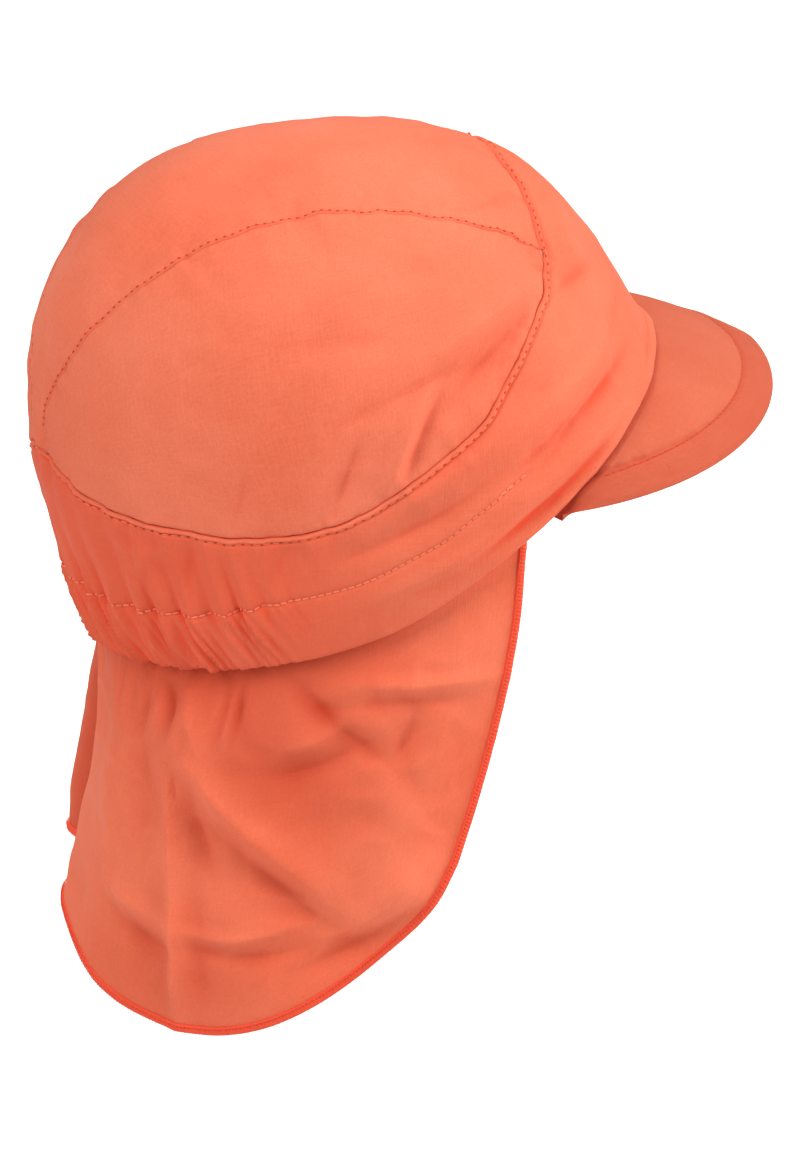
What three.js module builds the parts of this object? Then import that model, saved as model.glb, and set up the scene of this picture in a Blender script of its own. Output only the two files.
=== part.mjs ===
// Legionnaire cap: a three-panel crown on a gathered band, with a soft peak and a neck flap.
// Millimetres. +X points forward over the peak, +Y to the wearer's left and +Z up.
// The origin is the centre of the head opening. Seams are given by the direction in which
// they lie as seen from the middle of the crown: around from the front, and above the level.
import * as THREE from 'three';

const crown = {
  middle: { x: 2, z: 22 },   // point that the seam directions are taken from
  halfWidth: 77,             // widest half width, level with the middle
  roundness: 1.92,           // 2 is an ellipse across, more is boxier
  cloth: 1.4,                // outer cloth and its facing together
  seamGap: 0.5,              // clearance left between two pieces at a seam
};

// Side outline of the crown: reach from its middle at each angle up from straight ahead.
const sideOutline = [
  { at: -90, reach: 123 }, { at: -50, reach: 114 }, { at: -20, reach: 103 },
  { at: 0, reach: 89.5 }, { at: 12, reach: 78.5 }, { at: 22, reach: 73.6 },
  { at: 40, reach: 74.2 }, { at: 60, reach: 77.8 }, { at: 80, reach: 79.1 },
  { at: 100, reach: 83.7 }, { at: 120, reach: 93.2 }, { at: 138, reach: 102.4 },
  { at: 155, reach: 104.8 }, { at: 180, reach: 101.2 }, { at: 200, reach: 98.4 },
  { at: 230, reach: 108 }, { at: 270, reach: 123 },
];

// Half width of the centre panel along the top, from its front edge to its narrow back end.
const topSeam = [
  { along: 61, half: 42.6 }, { along: 75, half: 41.2 }, { along: 90, half: 38.8 },
  { along: 105, half: 36.2 }, { along: 120, half: 33.4 }, { along: 132, half: 31 },
  { along: 141, half: 28 }, { along: 150, half: 22.6 }, { along: 158, half: 17.2 },
  { along: 166, half: 10.6 }, { along: 173, half: 5.6 }, { along: 180, half: 4.4 },
];
const topPanel = { back: 176.2, cornerAround: 56 };

// Seam between the crown panels and the band, over the front and back along each side.
const bandSeam = [
  { around: 0, above: 67.9 }, { around: 12, above: 67.4 }, { around: 22, above: 66.3 },
  { around: 31, above: 63.9 }, { around: 40, above: 60.2 }, { around: 48, above: 55.2 },
  { around: 56, above: 48.2 }, { around: 63, above: 41.4 }, { around: 71, above: 35.6 },
  { around: 80, above: 28 }, { around: 90, above: 17.8 }, { around: 98, above: 11.9 },
  { around: 106, above: 6.5 }, { around: 115, above: 0.6 }, { around: 123, above: -2.6 },
  { around: 134, above: -4.3 }, { around: 146, above: -4.9 }, { around: 158, above: -4.3 },
  { around: 168, above: -2.4 }, { around: 174, above: 0.4 }, { around: 180, above: 1.8 },
];

// Lower edge of the band, round the head opening.
const rim = [
  { around: 0, above: 11.8 }, { around: 15, above: 12.8 }, { around: 25, above: 12.5 },
  { around: 35, above: 11.1 }, { around: 45, above: 9 }, { around: 53, above: 6.2 },
  { around: 61, above: 2.4 }, { around: 68, above: -1.3 }, { around: 74, above: -5.2 },
  { around: 81, above: -9.8 }, { around: 90, above: -15.8 }, { around: 98, above: -20.8 },
  { around: 107, above: -25.6 }, { around: 119, above: -29.5 }, { around: 136, above: -32.5 },
  { around: 155, above: -33.9 }, { around: 180, above: -34.6 },
];

// The elastic draws the back of the band into small upright pleats.
const gathers = { from: 112, full: 138, pitch: 4.6, depth: 0.75 };

// Peak outline in plan, and the height of its edge.
const peak = {
  endX: 22.3, reach: 90.2, halfSpan: 76.6, squareness: 0.95,
  tipZ: 26.8, endDrop: 12.6, endDropPower: 1.3,
  rootAround: 74, rootInset: 4, rootDrop: 2.4, rootThick: 1.9,
  thick: 3, edgeThick: 1.9, crownRise: 1.6, endSink: 0.9,
};

// Neck flap: plan ellipse that it hangs on, flaring as it goes down, and its lower edge.
const flap = {
  centreX: 2, back: 83, side: 75.5, flare: 0.13, flareBelow: -32,
  frontAround: 82, frontBow: 2.2, tuck: 3.6, cloth: 1.1, insetFromBand: 2.4,
  clearDown: 2, blendDown: 22,
};
// Lower edge of the flap's cloth. One row for each station across, from the left front edge (-1)
// over the centre back (0) to the right front edge (1), with the turn there and the height.
const flapHem = [
  { station: -1, turn: 262.4, z: -82.6 }, { station: -0.95, turn: 258.5, z: -91 },
  { station: -0.88, turn: 252.5, z: -100 }, { station: -0.75, turn: 241, z: -109 },
  { station: -0.58, turn: 228, z: -112.5 }, { station: -0.42, turn: 215, z: -112.5 },
  { station: -0.25, turn: 200, z: -113.5 }, { station: -0.1, turn: 188, z: -117 },
  { station: 0.02, turn: 178, z: -123.5 }, { station: 0.15, turn: 169, z: -129.5 },
  { station: 0.3, turn: 158, z: -133.8 }, { station: 0.45, turn: 147, z: -135 },
  { station: 0.6, turn: 134, z: -129.6 }, { station: 0.75, turn: 120, z: -117.8 },
  { station: 0.88, turn: 107.5, z: -102.4 }, { station: 0.95, turn: 101.5, z: -92.4 },
  { station: 1, turn: 97.6, z: -82.6 },
];
// Standing folds in the flap, as the offset outward that each turn reaches at the hem.
const flapFolds = [
  { turn: 90, out: 0 }, { turn: 106, out: 0.9 }, { turn: 120, out: -1.4 },
  { turn: 136, out: 0.9 }, { turn: 152, out: -0.4 }, { turn: 168, out: 0.8 },
  { turn: 180, out: -0.3 }, { turn: 191, out: 0.6 }, { turn: 203, out: -2.4 },
  { turn: 216, out: 7.2 }, { turn: 230, out: 1.4 }, { turn: 242, out: 2.8 },
  { turn: 256, out: 0.2 }, { turn: 270, out: 0 },
];
const hem = { gap: 0.35, width: 2.3, thick: 1.9 };

const rad = THREE.MathUtils.degToRad;
const deg = THREE.MathUtils.radToDeg;
const mix = THREE.MathUtils.lerp;
const ease = (a, b, x) => THREE.MathUtils.smoothstep(x, a, b);

// Smooth curve through the rows of a table, read at one value of its key column.
function along(rows, key, value, at) {
  const last = rows.length - 1;
  let i = 0;
  while (i < last - 1 && at > rows[i + 1][key]) i += 1;
  const slope = (k) => {
    const a = rows[Math.max(k - 1, 0)];
    const b = rows[Math.min(k + 1, last)];
    return (b[value] - a[value]) / (b[key] - a[key]);
  };
  const p = rows[i];
  const q = rows[i + 1];
  const h = q[key] - p[key];
  const t = (at - p[key]) / h;
  const t2 = t * t;
  const t3 = t2 * t;
  return (2 * t3 - 3 * t2 + 1) * p[value] + (t3 - 2 * t2 + t) * h * slope(i)
    + (3 * t2 - 2 * t3) * q[value] + (t3 - t2) * h * slope(i + 1);
}

const middle = new THREE.Vector3(crown.middle.x, 0, crown.middle.z);

// Size of an offset from the crown's middle, where 1 is on the crown's surface.
function gauge(v) {
  let angle = deg(Math.atan2(v.z, v.x));
  if (angle < -90) angle += 360;
  const reach = along(sideOutline, 'at', 'reach', angle);
  const n = crown.roundness;
  return ((Math.hypot(v.x, v.z) / reach) ** n + (Math.abs(v.y) / crown.halfWidth) ** n) ** (1 / n);
}

// Point of the crown's surface in a direction, with the outward normal there.
function onCrown(direction, lift = 0) {
  const offset = direction.clone().divideScalar(gauge(direction));
  const step = 0.05;
  const normal = new THREE.Vector3();
  for (const axis of ['x', 'y', 'z']) {
    const a = offset.clone();
    const b = offset.clone();
    a[axis] += step;
    b[axis] -= step;
    normal[axis] = gauge(a) - gauge(b);
  }
  normal.normalize();
  return { point: offset.add(middle).addScaledVector(normal, lift), normal };
}

// Direction from the crown's middle. Turns past 180 are on the left side.
function toward(around, above) {
  const level = Math.cos(rad(above));
  return new THREE.Vector3(
    level * Math.cos(rad(around)), -level * Math.sin(rad(around)), Math.sin(rad(above)));
}

const folded = (around) => (around > 180 ? 360 - around : around);
const seamAbove = (around) => along(bandSeam, 'around', 'above', folded(around));
const rimAbove = (around) => along(rim, 'around', 'above', folded(around));

// Offset of the gathers: none at the seam above the band, full from mid-band to the rim.
function gatherLift(around, above) {
  const side = folded(around);
  const low = ease(0.25, 0.75, (seamAbove(around) - above) / (seamAbove(around) - rimAbove(around)));
  return gathers.depth * low * ease(gathers.from, gathers.full, side)
    * Math.cos(rad((360 * around) / gathers.pitch));
}

// Point of the crown over the side outline's angle, at a distance across from the centre line.
function overTop(angle, y) {
  const n = crown.roundness;
  const reach = along(sideOutline, 'at', 'reach', angle)
    * (1 - (Math.abs(y) / crown.halfWidth) ** n) ** (1 / n);
  return new THREE.Vector3(reach * Math.cos(rad(angle)), y, reach * Math.sin(rad(angle)));
}

// Closed cloth solid over a grid of { point, normal, thick }. Round rings join their last column
// to the first; outward says on which side of the grid the normals lie.
function clothSolid(name, columns, { ring = false, material }) {
  const nU = columns.length;
  const nV = columns[0].length;
  const positions = [];
  const layer = (sign) => {
    const start = positions.length / 3;
    for (const column of columns) {
      for (const { point, normal, thick } of column) {
        const p = point.clone().addScaledVector(normal, (sign * thick) / 2);
        positions.push(p.x, p.y, p.z);
      }
    }
    return (i, j) => start + (i % nU) * nV + j;
  };
  const outer = layer(1);
  const inner = layer(-1);
  const index = [];
  const quad = (a, b, c, d) => index.push(a, b, c, a, c, d);
  const spans = ring ? nU : nU - 1;
  for (let i = 0; i < spans; i += 1) {
    for (let j = 0; j < nV - 1; j += 1) {
      quad(outer(i, j), outer(i, j + 1), outer(i + 1, j + 1), outer(i + 1, j));
      quad(inner(i, j), inner(i + 1, j), inner(i + 1, j + 1), inner(i, j + 1));
    }
    quad(outer(i, 0), outer(i + 1, 0), inner(i + 1, 0), inner(i, 0));
    const e = nV - 1;
    quad(outer(i + 1, e), outer(i, e), inner(i, e), inner(i + 1, e));
  }
  if (!ring) {
    const e = nU - 1;
    for (let j = 0; j < nV - 1; j += 1) {
      quad(outer(0, j + 1), outer(0, j), inner(0, j), inner(0, j + 1));
      quad(outer(e, j), outer(e, j + 1), inner(e, j + 1), inner(e, j));
    }
  }
  return namedMesh(name, positions, faceOutward(positions, index), material);
}

// Turns all faces over when the enclosed volume comes out negative.
function faceOutward(positions, index) {
  const p = (k) => new THREE.Vector3().fromArray(positions, 3 * k);
  let volume = 0;
  for (let t = 0; t < index.length; t += 3) {
    volume += p(index[t]).dot(p(index[t + 1]).cross(p(index[t + 2])));
  }
  if (volume > 0) return index;
  const turned = [];
  for (let t = 0; t < index.length; t += 3) turned.push(index[t], index[t + 2], index[t + 1]);
  return turned;
}

function namedMesh(name, positions, index, material) {
  const geometry = new THREE.BufferGeometry();
  geometry.setAttribute('position', new THREE.Float32BufferAttribute(positions, 3));
  geometry.setIndex(index);
  geometry.computeVertexNormals();
  const mesh = new THREE.Mesh(geometry, material);
  mesh.name = name;
  return mesh;
}

function range(count, at) {
  return Array.from({ length: count + 1 }, (_, i) => at(i / count));
}

// Normals of a plain grid of points, from its neighbours on each side.
function withNormals(grid, thickAt) {
  const nU = grid.length;
  const nV = grid[0].length;
  return grid.map((column, i) => column.map((point, j) => {
    const across = grid[Math.min(i + 1, nU - 1)][j].clone().sub(grid[Math.max(i - 1, 0)][j]);
    const down = grid[i][Math.min(j + 1, nV - 1)].clone().sub(grid[i][Math.max(j - 1, 0)]);
    return { point, normal: across.cross(down).normalize(), thick: thickAt(i, j) };
  }));
}

const clearAngle = deg(crown.seamGap / 2 / 88);

// Centre panel: from the front seam to the narrow end at the back, symmetric about the middle.
function crownTopPanel(material) {
  const columns = range(16, (u) => {
    const v = mix(-1, 1, u);
    const front = toward(-v * topPanel.cornerAround, seamAbove(Math.abs(v) * topPanel.cornerAround));
    const frontAngle = deg(Math.atan2(front.z, front.x)) + clearAngle;
    const frontY = onCrown(front).point.y * (1 - crown.seamGap / 90);
    const halfAt = (angle) => along(topSeam, 'along', 'half', angle) - crown.seamGap / 2;
    const correction = frontY - v * halfAt(frontAngle);
    return range(22, (s) => {
      const angle = mix(frontAngle, topPanel.back, s);
      const y = v * halfAt(angle) + correction * (1 - ease(0, 0.3, s));
      return { ...onCrown(overTop(angle, y)), thick: crown.cloth };
    });
  });
  return clothSolid('crown_top_panel', columns, { material });
}

// Side panel: between the centre panel's seam and the band's, coming to a point at both ends.
function crownSidePanel(name, side, material) {
  const clip = { front: 0.012, back: 0.985 };
  const columns = range(32, (u) => {
    const s = mix(clip.front, clip.back, u);
    const angle = mix(63.2, topPanel.back, s);
    const half = along(topSeam, 'along', 'half', angle) + crown.seamGap / 2;
    const upper = overTop(angle, -half).normalize();
    const around = mix(topPanel.cornerAround, 177, s ** 0.85);
    const lower = toward(around, seamAbove(around) + clearAngle);
    return range(7, (v) => {
      const direction = upper.clone().lerp(lower, v);
      direction.y *= side;
      return { ...onCrown(direction), thick: crown.cloth };
    });
  });
  return clothSolid(name, columns, { material });
}

// Band: tall at the front, narrow along the sides and gathered on elastic at the back.
function frontBand(material) {
  const front = gathers.from;
  const frontSteps = 50;
  const step = gathers.pitch / 4;
  const backSteps = Math.round((360 - 2 * front) / step);
  const arounds = [];
  for (let i = 0; i < frontSteps; i += 1) arounds.push(mix(-front, front, i / frontSteps) + 360);
  for (let i = 0; i < backSteps; i += 1) arounds.push(mix(front, 360 - front, i / backSteps));
  const columns = arounds.map((a) => {
    const around = a >= 360 ? a - 360 : a;
    const up = seamAbove(Math.abs(around)) - clearAngle;
    const low = rimAbove(Math.abs(around));
    return range(5, (v) => {
      const above = mix(up, low, v);
      const lift = around < front ? 0 : gatherLift(around, above);
      return { ...onCrown(toward(around, above), lift), thick: crown.cloth };
    });
  });
  return clothSolid('front_band', columns, { ring: true, material });
}

// Peak: a soft crescent whose root lies under the band's lower edge.
function peakPanel(material) {
  const rows = [-1, 0, 0.12, 0.35, 0.6, 0.85, 1];
  const grid = range(44, (u) => {
    const psi = rad(mix(-90, 90, u));
    const around = peak.rootAround * mix(-1, 1, u);
    const edgeRim = onCrown(toward(around, rimAbove(Math.abs(around)))).point;
    edgeRim.z -= peak.rootDrop;
    const edge = new THREE.Vector3(
      peak.endX + peak.reach * Math.max(Math.cos(psi), 0) ** peak.squareness,
      -peak.halfSpan * Math.sin(psi),
      peak.tipZ - peak.endDrop * Math.abs(Math.sin(psi)) ** peak.endDropPower);
    edge.z -= peak.edgeThick / 2;
    edge.z -= peak.endSink * ease(0.9, 1, Math.abs(Math.sin(psi)));
    const inward = new THREE.Vector3(-edgeRim.x + crown.middle.x, -edgeRim.y, 0).normalize();
    return rows.map((v) => {
      if (v < 0) return edgeRim.clone().addScaledVector(inward, peak.rootInset);
      const p = edgeRim.clone().lerp(edge, v);
      p.z += peak.crownRise * Math.cos(psi) * Math.sin(Math.PI * v);
      return p;
    });
  });
  const thick = [peak.rootThick, peak.rootThick, 2.5, peak.thick, peak.thick, 2.6, peak.edgeThick];
  return clothSolid('peak', withNormals(grid, (i, j) => thick[j]), { material });
}

// Point of the hanging flap's plan ellipse at a turn round the neck and a height.
function flapPoint(turn, z) {
  const back = flap.back + flap.flare * Math.max(flap.flareBelow - z, 0);
  const c = Math.cos(rad(turn));
  const s = Math.sin(rad(turn));
  const low = Math.min(Math.max((-30 - z) / 85, 0), 1) ** 0.7;
  const r = 1 / Math.hypot(c / (c < 0 ? back : 84), s / flap.side)
    + low * along(flapFolds, 'turn', 'out', Math.min(Math.max(turn, 90), 270));
  return new THREE.Vector3(flap.centreX + r * c, -r * s, z);
}

// Flap point at a station across (-1 left front edge, 1 right front edge) and a share down.
function flapAt(station, down) {
  const around = 180 - station * (180 - flap.frontAround);
  const above = rimAbove(around);
  const tucked = (raise) => onCrown(toward(around, above + raise), -flap.insetFromBand).point;
  if (down < 0) return tucked(flap.tuck);
  const top = tucked(-0.6);
  const hemTurn = along(flapHem, 'station', 'turn', station);
  const hemZ = along(flapHem, 'station', 'z', station);
  const topTurn = deg(Math.atan2(-top.y, top.x - flap.centreX));
  const startTurn = topTurn < 0 ? topTurn + 360 : topTurn;
  const bow = flap.frontBow * 4 * down * (1 - down) * station ** 3;
  const z = mix(top.z, hemZ, down);
  const hang = flapPoint(mix(startTurn, hemTurn, down) - bow, z);
  const settle = ease(flap.clearDown, flap.blendDown, top.z - z);
  const fromTop = top.clone().sub(flapPoint(startTurn, top.z));
  return hang.addScaledVector(fromTop, 1 - settle);
}

function neckFlap(material) {
  const downs = [-1, 0, 0.06, 0.14, 0.24, 0.38, 0.54, 0.7, 0.85, 1];
  const grid = range(54, (u) => {
    const station = mix(1, -1, u);
    return downs.map((down) => flapAt(station, down));
  });
  return clothSolid('neck_flap', withNormals(grid, () => flap.cloth), { material });
}

// Overlocked edge: a firm cord of thread down both front edges and along the flap's lower edge.
function flapEdging(material) {
  const path = [];
  for (let i = 2; i <= 16; i += 1) path.push([1, i / 17]);
  for (const u of range(76, (t) => t)) path.push([mix(1, -1, u), 1]);
  for (let i = 16; i >= 2; i -= 1) path.push([-1, i / 17]);
  const points = path.map(([station, down]) => flapAt(station, down));
  const section = [[0, -0.5], [0, 0.5], [1, 0.36], [1, -0.36]];
  const positions = [];
  points.forEach((point, i) => {
    const run = points[Math.min(i + 1, points.length - 1)].clone()
      .sub(points[Math.max(i - 1, 0)]).normalize();
    const radial = new THREE.Vector3(point.x - flap.centreX, point.y, 0).normalize();
    const out = run.clone().cross(radial).normalize();
    const normal = out.clone().cross(run).normalize();
    for (const [o, n] of section) {
      const p = point.clone().addScaledVector(out, -(hem.gap + o * hem.width))
        .addScaledVector(normal, n * hem.thick);
      positions.push(p.x, p.y, p.z);
    }
  });
  const n = section.length;
  const index = [];
  for (let i = 0; i < points.length - 1; i += 1) {
    for (let j = 0; j < n; j += 1) {
      const k = (j + 1) % n;
      index.push(i * n + j, i * n + k, (i + 1) * n + k, i * n + j, (i + 1) * n + k, (i + 1) * n + j);
    }
  }
  const end = (points.length - 1) * n;
  for (let j = 1; j < n - 1; j += 1) index.push(0, j + 1, j, end, end + j, end + j + 1);
  return namedMesh('flap_hem', positions, faceOutward(positions, index), material);
}

const coral = new THREE.MeshStandardMaterial({ color: 0xf47a58, roughness: 0.85, metalness: 0 });
const coralPeak = new THREE.MeshStandardMaterial({ color: 0xee7553, roughness: 0.85, metalness: 0 });
const thread = new THREE.MeshStandardMaterial({ color: 0xf04a30, roughness: 0.7, metalness: 0 });

const group = new THREE.Group();
group.name = 'legionnaire_cap';
group.add(
  crownTopPanel(coral),
  crownSidePanel('crown_side_panel_right', 1, coral),
  crownSidePanel('crown_side_panel_left', -1, coral),
  frontBand(coral),
  peakPanel(coralPeak),
  neckFlap(coral),
  flapEdging(thread),
);

export default group;
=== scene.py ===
"""Legionnaire cap in coral cotton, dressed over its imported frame.

Every cloth piece is a grid laid on the crown's form or on the hanging flap, shaped into the
seams, pleats and folds that the cloth takes, and given its thickness. Sizes are millimetres
until a mesh is made. +X is forward over the peak, +Y the wearer's left and +Z up. Angles
"around" are degrees from the front towards the wearer's right, and angles "above" are degrees
over the level through the middle of the form.
"""

import logging
import math
from collections.abc import Callable
from dataclasses import dataclass
from enum import Enum

import bpy
import numpy as np
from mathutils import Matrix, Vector

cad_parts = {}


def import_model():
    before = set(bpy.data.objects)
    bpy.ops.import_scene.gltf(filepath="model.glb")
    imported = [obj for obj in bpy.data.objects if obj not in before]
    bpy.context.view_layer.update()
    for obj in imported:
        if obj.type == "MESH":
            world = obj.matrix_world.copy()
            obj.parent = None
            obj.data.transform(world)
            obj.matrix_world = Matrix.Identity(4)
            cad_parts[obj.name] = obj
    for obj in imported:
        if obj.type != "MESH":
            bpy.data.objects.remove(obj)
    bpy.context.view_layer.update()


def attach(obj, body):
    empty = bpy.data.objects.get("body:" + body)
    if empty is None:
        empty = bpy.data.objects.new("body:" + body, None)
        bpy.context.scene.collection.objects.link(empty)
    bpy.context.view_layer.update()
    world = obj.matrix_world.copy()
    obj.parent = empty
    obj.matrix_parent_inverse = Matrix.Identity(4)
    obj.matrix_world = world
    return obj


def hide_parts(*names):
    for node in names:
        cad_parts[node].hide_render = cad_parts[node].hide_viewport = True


log = logging.getLogger("legionnaire_cap")

Array = np.ndarray
Line = tuple[Array, Array]
Laid = tuple[Array, Array, Array]
Rows = tuple[tuple[float, ...], ...]
Colour = tuple[float, float, float]

MM = 0.001
TINY = 1e-9
CHUNK = 4000  # points compared with a line at a time
MERGE = 1e-5  # metres within which the ends of a closed grid are joined
FACE = 0.65  # height of a cloth's outer face over the form
TUCK = 1.3  # length of a crown panel's edge that runs on under its neighbour
CROWN_CLOTH = 0.9  # thickness of the crown panels
CROWN_RADIUS = 88.0  # mean radius of the crown's outline from the side
BAND_DEGREE = 1.45  # height on the band of one degree above level
FLAP_DEGREE = 1.42  # width on the flap of one degree round the neck
RING_START = 400.0  # keeps places along a ring above 0
TOP_SEED = 11  # puckers of the centre panel's side seams, with the side added
SEAM_SEED = 51  # puckers of the seam between the crown and the band
TOP_PUCKER = 0.85
SEAM_PUCKER = 0.75
FULL_PAINTED_SHADE = 0.75  # share of the painted shade colour in a full hollow


class Slot(Enum):
    """Material slots of the record."""

    CLOTH = "coral_cloth"
    PEAK = "peak_cloth"
    THREAD = "hem_thread"


def ease(low: float, high: float, x: Array) -> Array:
    """Smooth step from 0 at low to 1 at high."""
    t = np.clip((np.asarray(x, float) - low) / (high - low), 0.0, 1.0)
    return t * t * (3.0 - 2.0 * t)


def bump(x: Array, width: float) -> Array:
    """Bell of height 1 at x = 0 that has mostly gone at twice the width."""
    return np.exp(-((np.asarray(x, float) / width) ** 2))


def ridges(gap: Array, rows: Rows) -> Array:
    """Sum of ridges that run beside a line.

    Args:
        gap: Distance from the line.
        rows: Height (negative for a valley), distance from the line and width of each.

    Returns:
        Offset along the normal.
    """
    return sum(height * bump(gap - at, width) for height, at, width in rows)


def unit(vectors: Array) -> Array:
    """Vectors scaled to length 1."""
    return vectors / np.maximum(np.linalg.norm(vectors, axis=-1, keepdims=True), TINY)


def from_front(around: Array) -> Array:
    """Angle from the front, 0 to 180, on whichever side it lies."""
    return np.abs((np.asarray(around, float) + 180) % 360 - 180)


def in_pairs(first: Array, second: Array) -> Array:
    """Two coordinates spread to one shape and joined in the last axis."""
    return np.stack(np.broadcast_arrays(first, second), axis=-1)


def lengths_along(line: Array) -> Array:
    """Length from the start of a line to each of its points."""
    return np.concatenate([[0.0], np.cumsum(np.linalg.norm(np.diff(line, axis=0), axis=1))])


def sample(values: Array, lengths: Array, at: Array) -> Array:
    """Values that are known at lengths along a line, at other lengths."""
    return np.stack([np.interp(at, lengths, column) for column in values.T], axis=-1)


@dataclass(frozen=True)
class Curve:
    """Smooth curve through a few rows of (key, value)."""

    rows: Rows

    def at(self, key: Array) -> Array:
        """Value at each key.

        Args:
            key: Keys, in an array of any shape.

        Returns:
            Values in the same shape.
        """
        x, y = np.array(self.rows, float).T
        index, last = np.arange(len(x)), len(x) - 1
        below, above = np.maximum(index - 1, 0), np.minimum(index + 1, last)
        slope = (y[above] - y[below]) / (x[above] - x[below])
        key = np.asarray(key, float)
        i = np.clip(np.searchsorted(x, key, side="right") - 1, 0, last - 1)
        step = x[i + 1] - x[i]
        t = (key - x[i]) / step
        t2, t3 = t * t, t * t * t
        return (
            (2 * t3 - 3 * t2 + 1) * y[i] + (t3 - 2 * t2 + t) * step * slope[i]
            + (3 * t2 - 2 * t3) * y[i + 1] + (t3 - t2) * step * slope[i + 1]
        )


@dataclass(frozen=True)
class Unevenness:
    """Smooth random field, the same on every run."""

    seed: int
    cells: int = 32

    def over(self, points: Array, size: float) -> Array:
        """Values from about -1 to 1 at points.

        Args:
            points: Positions, with the coordinates in the last axis.
            size: Distance over which the field changes from one lump to the next.

        Returns:
            One value for each point.
        """
        flat = points.reshape(-1, points.shape[-1])
        dims = flat.shape[1]
        lattice = np.random.RandomState(self.seed).uniform(-1, 1, (self.cells,) * dims)
        scaled = flat / size
        base = np.floor(scaled).astype(int)
        part = scaled - base
        part = part * part * (3 - 2 * part)
        total = np.zeros(len(flat))
        for corner in range(2**dims):
            offset = np.array([(corner >> d) & 1 for d in range(dims)])
            weight = np.prod(np.where(offset == 1, part, 1 - part), axis=1)
            total += weight * lattice[tuple((base + offset).T % self.cells)]
        return total.reshape(points.shape[:-1])

    def along(self, place: Array, size: float) -> Array:
        """Values at lengths along a line, changing over the size given."""
        return self.over(np.asarray(place, float)[..., None], size)


def nearest(points: Array, line: Array) -> Line:
    """Distance from points to a polyline, and how far along it the nearest place is.

    Args:
        points: Positions, with the coordinates in the last axis.
        line: Corners of the polyline in order.

    Returns:
        Distances and lengths along the line, shaped as the points are.
    """
    flat = points.reshape(-1, points.shape[-1])
    start, run = line[:-1], np.diff(line, axis=0)
    length2 = np.maximum((run**2).sum(1), TINY)
    begins = lengths_along(line)
    distance, place = np.empty(len(flat)), np.empty(len(flat))
    for k in range(0, len(flat), CHUNK):
        part = slice(k, k + CHUNK)
        gap = flat[part, None, :] - start[None]
        t = np.clip((gap * run[None]).sum(2) / length2, 0, 1)
        d2 = ((gap - t[..., None] * run[None]) ** 2).sum(2)
        j = d2.argmin(1)
        rows = np.arange(len(j))
        distance[part] = np.sqrt(d2[rows, j])
        place[part] = begins[j] + t[rows, j] * np.sqrt(length2[j])
    shape = points.shape[:-1]
    return distance.reshape(shape), place.reshape(shape)


@dataclass(frozen=True)
class Fold:
    """A soft ridge, or a valley where the height is negative, along a bowed line."""

    start: tuple[float, float]
    middle: tuple[float, float]
    end: tuple[float, float]
    width: float
    height: float
    soft: float = 0.45
    crest: float = 0.5

    def line(self, count: int = 18) -> Array:
        """Points along the fold in the two coordinates that it is given in.

        Args:
            count: Number of points.

        Returns:
            Points, shaped (count, 2).
        """
        t = np.linspace(0, 1, count)[:, None]
        a, m, b = (np.array(p, float) for p in (self.start, self.middle, self.end))
        control = 2 * m - (a + b) / 2
        return (1 - t) ** 2 * a + 2 * t * (1 - t) * control + t**2 * b

    def lift(self, points: Array, line: Array) -> Array:
        """Offset that the fold gives at points, once its line is in their space.

        Args:
            points: Positions, with the coordinates in the last axis.
            line: The fold's line in the same coordinates.

        Returns:
            Offset along the normal.
        """
        distance, place = nearest(points, line)
        taper = np.sin(np.pi * np.clip(place / lengths_along(line)[-1], 0, 1)) ** 1.2
        rounded = np.hypot(distance, self.crest) - self.crest
        sharp = np.exp(-rounded / (0.75 * self.width))
        whole = self.soft * bump(distance, self.width) + (1 - self.soft) * sharp
        return self.height * taper * whole


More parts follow.
